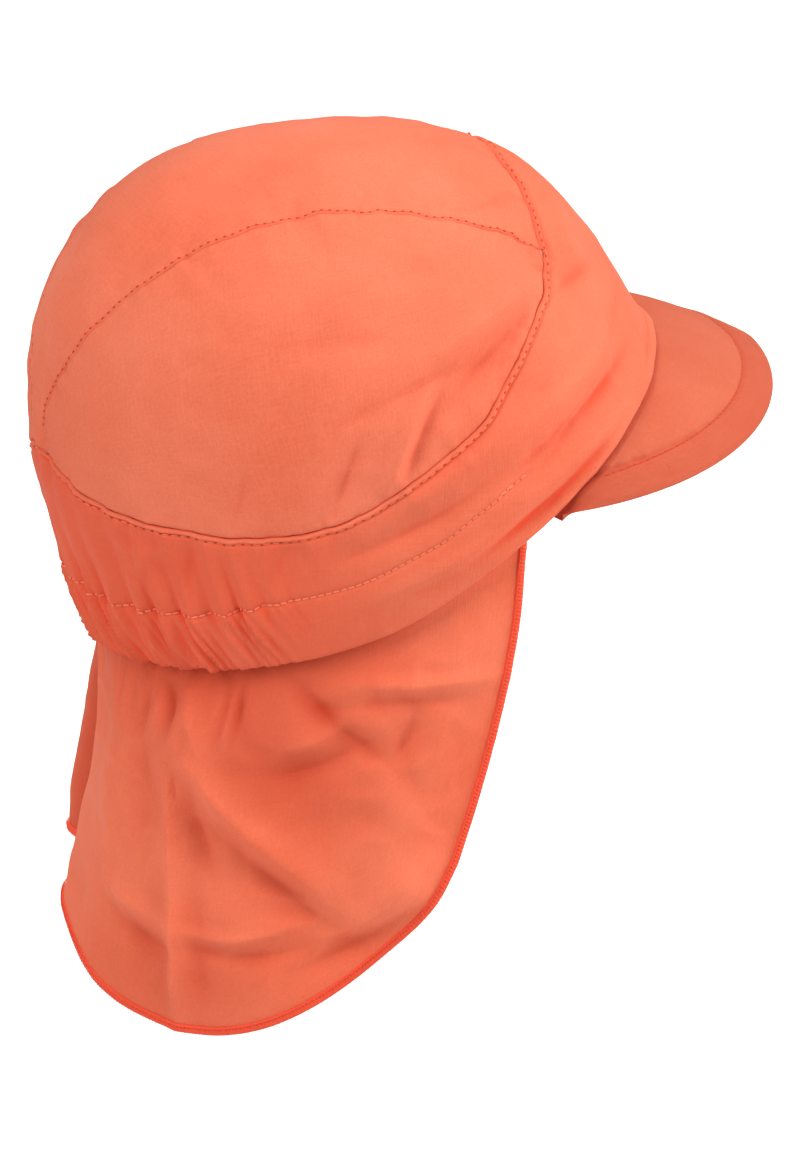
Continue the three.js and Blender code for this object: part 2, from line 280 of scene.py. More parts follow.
@dataclass
class CrownForm:
    """Smooth form that the crown and band lie on, and the seams drawn over it."""

    middle: tuple[float, float, float] = (2.0, 0.0, 22.0)
    half_width: float = 77.0
    roundness: float = 1.92
    side_outline: Curve = Curve((
        (-90, 123), (-50, 114), (-20, 103), (0, 89.5), (12, 78.5), (22, 73.6), (40, 74.2),
        (60, 77.8), (80, 79.1), (100, 83.7), (120, 93.2), (138, 102.4), (155, 104.8),
        (180, 101.2), (200, 98.4), (230, 108), (270, 123),
    ))
    top_half_width: Curve = Curve((
        (61, 42.6), (75, 41.2), (90, 38.8), (105, 36.2), (120, 33.4), (132, 31), (141, 28),
        (150, 22.6), (158, 17.2), (166, 10.6), (173, 5.6), (180, 4.4),
    ))
    band_seam: Curve = Curve((
        (0, 67.9), (12, 67.4), (22, 66.3), (31, 63.9), (40, 60.2), (48, 55.2), (56, 48.2),
        (63, 41.4), (71, 35.6), (80, 28), (90, 17.8), (98, 11.9), (106, 6.5), (115, 0.6),
        (123, -2.6), (134, -4.3), (146, -4.9), (158, -4.3), (168, -2.4), (174, 0.4), (180, 1.8),
    ))
    rim: Curve = Curve((
        (0, 11.8), (15, 12.8), (25, 12.5), (35, 11.1), (45, 9), (53, 6.2), (61, 2.4),
        (68, -1.3), (74, -5.2), (81, -9.8), (90, -15.8), (98, -20.8), (107, -25.6),
        (119, -29.5), (136, -32.5), (155, -33.9), (180, -34.6),
    ))
    casing: Curve = Curve((
        (80, 6), (86, 2.7), (90, 0), (94, -2.7), (99, -6.4), (107, -10.5), (114, -14),
        (121, -16.2), (130, -18), (137, -19.6), (145, -21.6), (155, -22.4), (166, -22.9),
        (180, -22.4),
    ))
    corner: float = 56.0
    top_start: float = 62.6
    back: float = 178.4
    normal_step: float = 0.05

    def seam_above(self, around: Array) -> Array:
        """Angle above level of the band's seam, which wanders a little, most at the front.

        Args:
            around: Angles from the front.

        Returns:
            Angles above level, in degrees.
        """
        signed = (np.asarray(around, float) + 180) % 360 - 180
        turn, place = np.abs(signed), signed + RING_START
        fine = 0.12 + 0.52 * (1 - ease(52, 74, turn))
        broad = 0.45 * ease(104, 140, turn)
        wander = fine * Unevenness(91, 128).along(place, 3.4)
        wander += broad * Unevenness(94, 64).along(place, 9)
        return self.band_seam.at(turn) + wander * (1 - ease(170, 178, turn))

    def half_at(self, angle: Array, side: Array) -> Array:
        """Half width of the centre panel, whose side seams wander a little too."""
        steps = Unevenness(92, 128).along(angle + 90 * np.sign(side), 3.0)
        return self.top_half_width.at(angle) + 0.42 * steps * (1 - ease(160, 172, angle))

    def gauge(self, offset: Array) -> Array:
        """Size of offsets from the middle, where 1 is on the form.

        Args:
            offset: Offsets from the middle in mm.

        Returns:
            One value for each.
        """
        angle = np.degrees(np.arctan2(offset[..., 2], offset[..., 0]))
        reach = self.side_outline.at(np.where(angle < -90, angle + 360, angle))
        deep = np.hypot(offset[..., 0], offset[..., 2]) / reach
        wide = np.abs(offset[..., 1]) / self.half_width
        return (deep**self.roundness + wide**self.roundness) ** (1 / self.roundness)

    def on(self, direction: Array) -> Line:
        """Points of the form in directions from its middle, and its normals there.

        Args:
            direction: Directions of any length.

        Returns:
            Positions in mm and unit normals.
        """
        offset = direction / self.gauge(direction)[..., None]
        steps = self.normal_step * np.eye(3)
        slope = [self.gauge(offset + step) - self.gauge(offset - step) for step in steps]
        return offset + self.middle, unit(np.stack(slope, axis=-1))

    @staticmethod
    def toward(around: Array, above: Array) -> Array:
        """Directions from the middle at angles around and above."""
        a, b = np.broadcast_arrays(np.radians(around), np.radians(above))
        return np.stack([np.cos(b) * np.cos(a), -np.cos(b) * np.sin(a), np.sin(b)], axis=-1)

    def at(self, around: Array, above: Array) -> Line:
        """Points of the form at angles around and above, and its normals there."""
        return self.on(self.toward(around, above))

    def over_top(self, angle: Array, y: Array) -> Array:
        """Offsets from the middle at side-outline angles and distances across.

        Args:
            angle: Angles over the side outline, 0 ahead and 90 straight up.
            y: Distances across, 0 in the middle.

        Returns:
            Offsets in mm.
        """
        n = self.roundness
        reach = self.side_outline.at(angle) * (1 - (np.abs(y) / self.half_width) ** n) ** (1 / n)
        a = np.radians(angle)
        return np.stack([reach * np.cos(a), y + 0 * reach, reach * np.sin(a)], axis=-1)

    def seam_round(self, count: int = 520) -> Array:
        """Closed line of the seam between the crown panels and the band."""
        around = np.linspace(-180, 180, count)
        return self.at(around, self.seam_above(around))[0]

    def rim_round(self, count: int = 420) -> Array:
        """Closed line of the band's lower edge."""
        around = np.linspace(-180, 180, count)
        return self.at(around, self.rim.at(np.abs(around)))[0]

    def top_seam(self, side: int, count: int = 240) -> Array:
        """Line between the centre panel and a side panel; side is -1 for the right."""
        angle = np.linspace(self.top_start, self.back + 2, count)
        return self.on(self.over_top(angle, side * self.half_at(angle, side)))[0]


# Drag folds of the band, a side panel and the centre panel, as (around, above) lines.
BAND_FOLDS = (
    Fold((65, 38.6), (50, 40.4), (34, 40), 3.0, -0.3),
    Fold((66, 42.5), (50, 45), (34, 43), 4.5, 0.5),
    Fold((38, 28), (68, 20), (92, 8), 4.4, 0.8),
    Fold((34, 22), (64, 14.2), (90, 3), 3.2, -0.85),
    Fold((27, 16.5), (62, 8.2), (88, -3), 3.6, 0.85),
    Fold((56, 7), (76, -2.2), (96, -13), 3.0, -0.95),
    Fold((78, 22), (92, 11.4), (112, -2), 3.8, 0.6),
    Fold((84, 10), (101, -1.5), (124, -11), 3.6, -0.7),
    Fold((80, -3), (98, -11.1), (120, -21), 3.2, 0.6),
    Fold((127, -4), (131, -10), (134, -20), 4.0, -0.35),
    Fold((145, -5), (148, -11), (150, -21), 3.6, -0.45),
    Fold((156, -6), (158, -13), (160, -21), 3.0, 0.6),
    Fold((20, 30), (40, 27), (58, 20), 6.0, -0.4),
)
SIDE_FOLDS = (
    Fold((60, 40), (84, 31.6), (104, 15), 4.0, -0.95),
    Fold((62, 43), (90, 35.6), (116, 20), 5.0, 0.7),
    Fold((78, 29), (101, 27), (126, 14), 4.2, -0.5),
    Fold((111.5, 1.6), (108, 13.1), (100, 27), 2.8, 0.85),
    Fold((107, 4), (104, 15), (96, 28), 2.8, -0.8),
    Fold((122, -3), (118.5, 8), (115, 18), 2.4, -0.5),
    Fold((127, -3.6), (124, 5), (121, 13), 2.8, 0.4),
    Fold((140, -5), (138, 2), (137, 9), 3.0, -0.3),
    Fold((90, 46), (108, 44), (128, 36), 7.0, 0.3),
    Fold((97, 33), (118, 34), (140, 28), 8.0, -0.35),
)
TOP_FOLDS = (
    Fold((36, 60.5), (58, 62), (84, 61), 3.4, -0.4),
    Fold((20, 67.5), (40, 74), (110, 78), 4.0, 0.3),
    Fold((150, 48), (160, 40), (168, 30), 6.0, -0.35),
)
# Folds of the flap's right half and deep groove, as (turn, height) lines.
FLAP_FOLDS = (
    Fold((163, -44), (142, -66), (116, -104), 9.0, 4.6),
    Fold((121, -95), (111, -90), (98, -74), 9.0, 1.8),
    Fold((139, -20), (125, -38), (104, -60), 4.6, -2.2),
    Fold((120, -24), (110, -40), (104, -70), 5.0, -1.1),
    Fold((128, -31), (106, -29), (84, -29), 3.0, 1.7),
    Fold((128, -38), (106, -35), (86, -35), 3.4, -1.0),
    Fold((147, -28), (142, -40), (140, -52), 3.6, -1.0),
    Fold((138, -58), (126, -54), (110, -44), 5.0, -1.7),
    Fold((135, -49), (126, -46), (116, -38), 3.6, 1.4),
    Fold((112, -54), (105, -42), (107, -31), 4.4, -1.6),
    Fold((150, -72), (131, -93), (116, -110), 8.0, -3.2),
    Fold((153, -106), (142.6, -107.2), (126, -100), 2.2, 1.3),
    Fold((154, -111), (140, -113), (124, -106), 4.0, -1.6),
    Fold((134, -116), (118.4, -109), (104, -92), 6.5, -2.6),
    Fold((127, -106), (117, -101), (104, -84), 5.0, 1.6),
    Fold((172, -103), (161, -113), (150, -113), 4.6, -1.8),
    Fold((172, -96), (161, -104), (151, -106), 4.4, 1.4),
    Fold((165, -30), (159, -42), (156, -56), 3.2, -2.2),
    Fold((156, -32), (152, -44), (146, -56), 3.4, 1.3),
    Fold((178, -44), (173, -67), (174, -100), 8.0, 1.0),
    Fold((168, -38), (163, -60), (160, -90), 5.5, -1.4),
    Fold((154, -64), (148, -84), (143, -100), 5.5, -1.8),
    Fold((215, -45), (228, -60), (240, -80), 7.0, -1.6),
    Fold((226, -40), (238, -55), (250, -62), 5.0, 1.3),
)


def crumple(base: Array, seed: int, broad: float, fine: float) -> Array:
    """Uneven lie of the cloth: broad hollows and short soft creases.

    Args:
        base: Positions in mm.
        seed: Seed of the unevenness.
        broad: Height of the hollows in mm.
        fine: Height of the short creases in mm.

    Returns:
        Offset along the normal.
    """
    shifts = [Unevenness(seed + k, 16).over(base, 15) for k in (100, 101, 102)]
    warped = base + 4.0 * np.stack(shifts, axis=-1)
    ridged = 1 - np.abs(Unevenness(seed + 1, 24).over(warped, 10)) * 2.2
    small = Unevenness(seed + 2, 32).over(warped, 4.2)
    return broad * Unevenness(seed, 16).over(base, 27) + fine * (ridged + 0.25 * small)


def drape(
    form: CrownForm, base: Array, folds: tuple[Fold, ...], strength: float, seed: int,
    fine: float = 0.2, broad: float = 0.6,
) -> Array:
    """How cloth lies on the form away from its seams.

    Args:
        form: The form that the cloth lies on.
        base: Positions on the form.
        folds: Drag folds, given on the right side and mirrored to the left.
        strength: Share of each fold's height.
        seed: Seed of the uneven lie.
        fine: Height of the short creases in mm.
        broad: Height of the broad hollows in mm.

    Returns:
        Offset along the normal.
    """
    right = base.copy()
    right[..., 1] = -np.abs(right[..., 1])
    dragged = sum(fold.lift(right, form.at(*fold.line().T)[0]) for fold in folds)
    return strength * dragged + crumple(base, seed, broad, fine)


def pucker(gap: Array, place: Array, seed: int, height: float) -> Array:
    """Small gathers that a line of stitching draws into the cloth beside it.

    Args:
        gap: Distance from the seam in mm.
        place: Length along the seam in mm.
        seed: Seed of the gathers' spacing.
        height: Height of the gathers in mm.

    Returns:
        Offset along the normal.
    """
    coarse = np.exp(-gap / 6.5) * Unevenness(seed, 64).along(place + 0.35 * gap, 6.0)
    fine = np.exp(-gap / 2.4) * Unevenness(seed + 40, 128).along(place, 2.2)
    return height * (coarse + 0.6 * fine) * (1 - 0.6 * np.exp(-gap / 0.5))


def edge_rows(count: int, crowd: float) -> Array:
    """Shares from 0 to 1 that crowd towards both ends, with each end given twice.

    Args:
        count: Number of rows without the second copy of each end.
        crowd: How far the rows crowd together, from 0 to 1.

    Returns:
        The shares in order.
    """
    t = np.linspace(0, 1, count)
    inner = (1 - crowd) * t + crowd * (0.5 - 0.5 * np.cos(np.pi * t))
    return np.concatenate([[0.0], inner, [1.0]])


def tuck_under(points: Array, base: Array, normal: Array, sink: float) -> None:
    """Runs both end rows of a crown panel on under the neighbouring cloth.

    Args:
        points: The panel's points, whose end rows are moved.
        base: The same points on the form.
        normal: The form's normals.
        sink: How far the end rows go in.
    """
    for edge, inner in ((0, 2), (-1, -3)):
        run = unit(base[:, edge] - base[:, inner])
        points[:, edge] += run * TUCK - normal[:, edge] * sink


def painted_hollow_shade(relief: Array, depth: float = 0.75, spread: int = 6) -> Array:
    """Painted shade for each point of a grid, by how far it lies in a hollow of the cloth.

    Args:
        relief: Height of each point over the smooth form, in mm.
        depth: Depth in mm of a full hollow.
        spread: Number of times that neighbours are averaged to find the level round a point.

    Returns:
        Shares of the painted shade colour, from 0 on open cloth to the full share in a full
        hollow.
    """
    level = relief
    for _ in range(spread):
        for axis in (0, 1):
            moved = np.moveaxis(level, axis, 0)
            inner = (moved[:-2] + 2 * moved[1:-1] + moved[2:]) / 4
            level = np.moveaxis(np.concatenate([moved[:1], inner, moved[-1:]]), 0, axis)
    return FULL_PAINTED_SHADE * np.clip((level - relief) / depth, 0, 1) ** 1.25


def edit(piece: bpy.types.Object, change: Callable, **settings: float | bool) -> None:
    """Makes one change to the whole mesh of a piece.

    Args:
        piece: The piece that is changed.
        change: Operator that is called in edit mode.
        settings: Values that it is called with.
    """
    bpy.ops.object.select_all(action="DESELECT")
    piece.select_set(True)
    bpy.context.view_layer.objects.active = piece
    bpy.ops.object.mode_set(mode="EDIT")
    bpy.ops.mesh.select_all(action="SELECT")
    change(**settings)
    bpy.ops.object.mode_set(mode="OBJECT")


def grid_piece(
    name: str, points: Array, cloth_uv: Array, thickness: float, painted_shade: Array,
    flip: bool = False, closed: bool = False,
) -> bpy.types.Object:
    """Cloth piece from a grid of points, thickened inwards.

    Args:
        name: Name of the piece.
        points: Positions in mm, shaped (columns, rows, 3). The outside is where the row
            direction crossed with the column direction points.
        cloth_uv: Place of each point in the flat cloth, in mm.
        thickness: Thickness of the cloth in mm, or 0 to leave the surface as it is.
        painted_shade: Share of painted shade at each point, by how far it lies in a hollow, from
            0 to 1.
        flip: True where the columns are given in the order that would face inwards.
        closed: True where the grid's ends meet and are joined.

    Returns:
        The finished mesh object.
    """
    if flip:
        points, cloth_uv, painted_shade = points[::-1], cloth_uv[::-1], painted_shade[::-1]
    columns, rows = points.shape[:2]
    bpy.ops.object.select_all(action="DESELECT")
    bpy.ops.mesh.primitive_grid_add(
        x_subdivisions=rows - 1, y_subdivisions=columns - 1, size=1, calc_uvs=True)
    piece = bpy.context.object
    mesh = piece.data
    piece.name = mesh.name = name
    if len(mesh.vertices) != columns * rows:
        raise ValueError(f"{name}: the grid has {len(mesh.vertices)} points")
    mesh.vertices.foreach_set("co", (points.reshape(-1, 3) * MM).ravel())
    corners = np.empty(len(mesh.loops), dtype=np.int32)
    mesh.loops.foreach_get("vertex_index", corners)
    mesh.uv_layers[0].data.foreach_set("uv", (cloth_uv.reshape(-1, 2) * MM)[corners].ravel())
    # Painted shade shares, stored for the shader to darken the cloth in its hollows.
    shade = mesh.attributes.new("painted_shade", "FLOAT", "POINT")
    shade.data.foreach_set("value", painted_shade.ravel().astype(np.float32))
    mesh.update()
    if closed:
        edit(piece, bpy.ops.mesh.remove_doubles, threshold=MERGE)
    if thickness:
        solid = piece.modifiers.new("thickness", "SOLIDIFY")
        solid.thickness, solid.offset = thickness * MM, -1
        bpy.ops.object.modifier_apply(modifier=solid.name)
    bpy.ops.object.shade_smooth()
    return piece


def dress(piece: bpy.types.Object, material: bpy.types.Material) -> None:
    """Gives a piece its finish and lets it ride on the cap's one body.

    Args:
        piece: The finished mesh.
        material: Its finish.
    """
    piece.data.materials.clear()
    piece.data.materials.append(material)
    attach(piece, "root")
    log.info("%s: %d faces", piece.name, len(piece.data.polygons))


@dataclass
class CentrePanel:
    """Centre panel of the crown, running from the front seam to a narrow back end."""

    form: CrownForm
    columns: int = 84
    rows: int = 200
    crowd: float = 0.6
    side_sink: float = 1.2
    end_sink: float = 0.5
    blend: float = 0.3
    side_valley: Rows = ((-0.55, 0.0, 0.5), (-0.28, 0.85, 0.5))
    fold_strength: float = 1.8
    fold_gap: float = 5.0

    def build(self) -> bpy.types.Object:
        """Makes the panel with its seam edges turned down and slight puckers.

        Returns:
            The finished mesh object.
        """
        form = self.form
        v = 2 * edge_rows(self.columns, self.crowd)[:, None] - 1
        s = edge_rows(self.rows, self.crowd)[None, :]
        front = form.toward(-v * form.corner, form.seam_above(-v * form.corner))
        start = np.degrees(np.arctan2(front[..., 2], front[..., 0]))
        correction = form.on(front)[0][..., 1] - v * form.half_at(start, v)
        angle = start + (form.back - start) * s
        half = form.top_half_width.at(angle)
        half = half + (form.half_at(angle, v) - half) * np.abs(v) ** 4
        y = v * half + correction * (1 - ease(0, self.blend, s))
        base, normal = form.on(form.over_top(angle, y))
        lift = self.lift(base)
        points = base + normal * lift[..., None]
        for side in (0, -1):
            points[side] -= normal[side] * self.side_sink
        tuck_under(points, base, normal, self.end_sink)
        uv = in_pairs(y, np.radians(angle) * CROWN_RADIUS)
        # The shader darkens the panel's hollows with painted shade.
        return grid_piece(
            "crown_centre_cloth", points, uv, CROWN_CLOTH, painted_hollow_shade(lift), flip=True)

    def lift(self, base: Array) -> Array:
        """Height of the cloth's outer face over the form.

        Args:
            base: Positions on the form.

        Returns:
            Heights along the normal in mm.
        """
        form = self.form
        rise = np.full(base.shape[:-1], FACE)
        spare = np.ones(base.shape[:-1])
        for side in (-1, 1):
            gap, place = nearest(base, form.top_seam(side))
            rise += pucker(gap, place, TOP_SEED + side, TOP_PUCKER)
            rise += ridges(gap, self.side_valley)
            spare *= ease(0, self.fold_gap, gap)
        gap, place = nearest(base, form.seam_round())
        rise += pucker(gap, place, SEAM_SEED, SEAM_PUCKER) - 0.7 * np.exp(-gap / 0.8)
        spare *= ease(0, self.fold_gap, gap)
        return rise + spare * drape(form, base, TOP_FOLDS, self.fold_strength, seed=5)


@dataclass
class SidePanel:
    """Side panel of the crown, between the centre panel and the band."""

    form: CrownForm
    name: str
    side: int
    columns: int = 250
    rows: int = 88
    crowd: float = 0.75
    front: float = 62.8
    back_around: float = 177.9
    back_crowd: float = 0.85
    end_sink: float = 0.6
    height: float = 85.0
    fold_strength: float = 3.0
    top_fold_gap: float = 5.0
    low_fold_gap: float = 4.0

    def build(self) -> bpy.types.Object:
        """Makes the panel with its edges under the neighbours' welts.

        Returns:
            The finished mesh object.
        """
        form = self.form
        s = np.linspace(0, 1, self.columns)[:, None]
        angle = self.front + (form.back - self.front) * s
        around = form.corner + (self.back_around - form.corner) * s**self.back_crowd
        upper = unit(form.over_top(angle, -form.half_at(angle, self.side)))
        lower = form.toward(around, form.seam_above(-self.side * around))
        share = edge_rows(self.rows, self.crowd)[None, :]
        base, normal = form.on(upper + (lower - upper) * share[..., None])
        mirror = np.array([1.0, float(-self.side), 1.0])
        base, normal = base * mirror, normal * mirror
        lift = self.lift(base)
        points = base + normal * lift[..., None]
        tuck_under(points, base, normal, self.end_sink)
        uv = in_pairs(np.radians(angle) * CROWN_RADIUS, share * self.height)
        # The shader darkens the panel's hollows with painted shade.
        return grid_piece(
            self.name, points, uv, CROWN_CLOTH, painted_hollow_shade(lift), flip=self.side < 0)

    def lift(self, base: Array) -> Array:
        """Height of the cloth's outer face over the form.

        Args:
            base: Positions on the form.

        Returns:
            Heights along the normal in mm.
        """
        form = self.form
        top_gap, top_place = nearest(base, form.top_seam(self.side))
        low_gap, low_place = nearest(base, form.seam_round())
        rise = FACE - 0.6 * np.exp(-top_gap / 0.6) - np.exp(-low_gap / 0.5)
        rise = np.maximum(rise, -self.end_sink)
        rise += pucker(top_gap, top_place, TOP_SEED + self.side, TOP_PUCKER)
        rise += pucker(low_gap, low_place, SEAM_SEED, SEAM_PUCKER)
        spare = ease(0, self.top_fold_gap, top_gap) * ease(0, self.low_fold_gap, low_gap)
        return rise + spare * drape(form, base, SIDE_FOLDS, self.fold_strength, seed=7)


@dataclass
class Band:
    """Tall front, narrow sides and gathered elastic casing at the back, in one ring."""

    form: CrownForm
    seam_steps: tuple[float, ...] = (
        0.0, 0.2, 0.42, 0.66, 0.92, 1.2, 1.46, 1.7, 1.94, 2.2, 2.6, 3.2, 4.1,
    )
    casing_steps: tuple[float, ...] = (-1.9, -1.1, -0.65, -0.3, 0.0, 0.3, 0.65, 1.1, 1.9)
    rim_steps: tuple[float, ...] = (3.4, 2.3, 1.5, 0.95, 0.5, 0.2, 0.0)
    welt: Rows = ((-0.75, 0.0, 0.35), (0.2, 0.8, 0.5), (-0.5, 1.75, 0.5))
    front_ridge: Rows = ((0.35, 2.2, 1.5), (-0.5, 4.9, 1.3))
    rolled_edge: Rows = ((-1.5, 0.0, 0.75),)
    upper_rows: int = 23
    lower_rows: int = 10
    close_from: float = 112.0
    front_step: float = 0.62
    back_step: float = 0.36
    casing_from: float = 80.0
    casing_height: float = 14.5
    casing_starts: tuple[float, float] = (78.0, 84.0)
    casing_rise: float = 0.9
    casing_valley: Rows = ((-0.5, 0.0, 0.75),)
    ridge_ends: tuple[float, float] = (72.0, 90.0)
    gather_from: float = 122.0
    gather_full: float = 143.0
    pleat_pitch: float = 3.3
    pleat_lean: float = 2.0
    pleat_height: float = 1.45
    pleat_fade: float = 7.0
    pleat_share_above: float = 0.55
    drag_pitch: float = 9.0
    drag_height: float = 1.2
    drag_fade: float = 13.0
    fold_strength: float = 3.0
    fold_gap: float = 4.0
    flat_round: float = 84.0
    flat_up: float = 80.0
    cloth: float = 1.0

    def build(self) -> bpy.types.Object:
        """Makes the ring with its welt, casing, gathers, drag folds and rolled rim, and its
        painted shade.

        Returns:
            The finished mesh object.
        """
        form, limit = self.form, self.close_from
        around = np.concatenate([
            np.arange(-limit, limit, self.front_step),
            np.arange(limit, 360 - limit, self.back_step), [360 - limit]])[:, None]
        above = self.aboves(around)
        points, _ = self.surface(around, above)
        base, _ = form.at(around, above)
        relief = np.linalg.norm(points - form.middle, axis=-1)
        relief = relief - np.linalg.norm(base - form.middle, axis=-1)
        turn = from_front(around)
        gap, _ = nearest(base, form.seam_round())
        # Painted shade in the band's hollows and growing towards its back, with less of it on
        # the welt so that the welt reads light.
        shade = 0.9 * painted_hollow_shade(relief) + 0.12 * ease(60, 90, turn) + 0.3 * ease(92, 150, turn)
        shade = np.clip(shade - 0.7 * bump(gap - 0.85, 0.5), 0, 1)
        uv = in_pairs(np.radians(around) * self.flat_round, np.radians(above) * self.flat_up)
        return grid_piece(
            "band_cloth", points, uv, self.cloth, shade, flip=True, closed=True)

    def casing_above(self, turn: Array) -> Array:
        """Angle above level of the casing's upper edge, level in front of its start."""
        return self.form.casing.at(np.maximum(turn, self.casing_from))

    def aboves(self, around: Array) -> Array:
        """Angles above level of the rows, close together at the seam, casing and rim.

        Args:
            around: Angles of the columns, shaped (columns, 1).

        Returns:
            Angles, shaped (columns, rows).
        """
        turn = from_front(around)
        rim = self.form.rim.at(turn)
        casing = np.where(
            turn < self.casing_from, rim + self.casing_height, self.casing_above(turn))
        head = self.form.seam_above(around) - np.array(self.seam_steps) / BAND_DEGREE
        waist = casing - np.array(self.casing_steps) / BAND_DEGREE
        foot = rim + np.array(self.rim_steps) / BAND_DEGREE

        def between(upper: Array, lower: Array, count: int) -> Array:
            """Evenly spaced rows between two groups of rows."""
            share = np.arange(1, count + 1) / (count + 1)
            return upper[:, -1:] + (lower[:, :1] - upper[:, -1:]) * share

        upper = between(head, waist, self.upper_rows)
        lower = between(waist, foot, self.lower_rows)
        return np.concatenate([head, upper, waist, lower, foot], axis=1)

    def surface(self, around: Array, above: Array) -> Line:
        """Points of the cloth's outer face at angles around and above, and its normals.

        Args:
            around: Angles from the front.
            above: Angles above level.

        Returns:
            Positions in mm and unit normals.
        """
        form = self.form
        around, above = np.broadcast_arrays(around, above)
        turn = from_front(around)
        base, normal = form.at(around, above)
        seam_gap, seam_place = nearest(base, form.seam_round())
        rim_gap, rim_place = nearest(base, form.rim_round())
        lift = FACE + ridges(seam_gap, self.welt)
        lift += pucker(seam_gap, seam_place, SEAM_SEED, SEAM_PUCKER)
        lift += (1 - ease(*self.ridge_ends, turn)) * ridges(rim_gap, self.front_ridge)
        lift += ridges(rim_gap, self.rolled_edge)
        lift += self.elastic(turn, above, rim_place)
        loose = drape(form, base, BAND_FOLDS, self.fold_strength, seed=9, fine=0.22)
        lift += ease(0, self.fold_gap, seam_gap) * loose
        return base + normal * lift[..., None], normal

    def elastic(self, turn: Array, above: Array, place: Array) -> Array:
        """Casing that stands proud over the elastic, and the pleats that it draws up.

        Args:
            turn: Angle from the front.
            above: Angle above level.
            place: Length along the rim.

        Returns:
            Offset along the normal.
        """
        casing = self.casing_above(turn)
        down = (casing - above) * BAND_DEGREE
        depth = np.maximum((casing - self.form.rim.at(turn)) * BAND_DEGREE, 1)
        inside = np.clip(down / depth, 0, 1)
        starts = ease(*self.casing_starts, turn)
        gathered = ease(self.gather_from, self.gather_full, turn)
        valley = ridges(down, self.casing_valley) * starts
        channel = self.casing_rise * np.sin(np.pi * inside) ** 0.8
        channel = channel * (0.35 * starts + 0.65 * gathered)
        slid = place + self.pleat_lean * inside * self.pleat_pitch
        phase = slid / self.pleat_pitch + 0.45 * Unevenness(61, 64).along(slid, 7.0)
        pleat = 0.85 - 1.35 * np.abs(np.sin(np.pi * phase)) ** 0.9
        swell = 0.75 + 0.5 * Unevenness(62, 64).along(slid + 3 * inside, 5.0)
        below = ease(-0.6, 1.2, down)
        fade = self.pleat_share_above * np.exp(-np.maximum(-down, 0) / self.pleat_fade)
        reach = below + (1 - below) * fade
        wave = place / self.drag_pitch + 0.5 * Unevenness(63, 64).along(place, 14.0)
        drag = np.sin(2 * np.pi * wave) * np.exp(-np.abs(down) / self.drag_fade)
        pleats = self.pleat_height * swell * pleat * reach + self.drag_height * drag
        return valley + channel + gathered * pleats


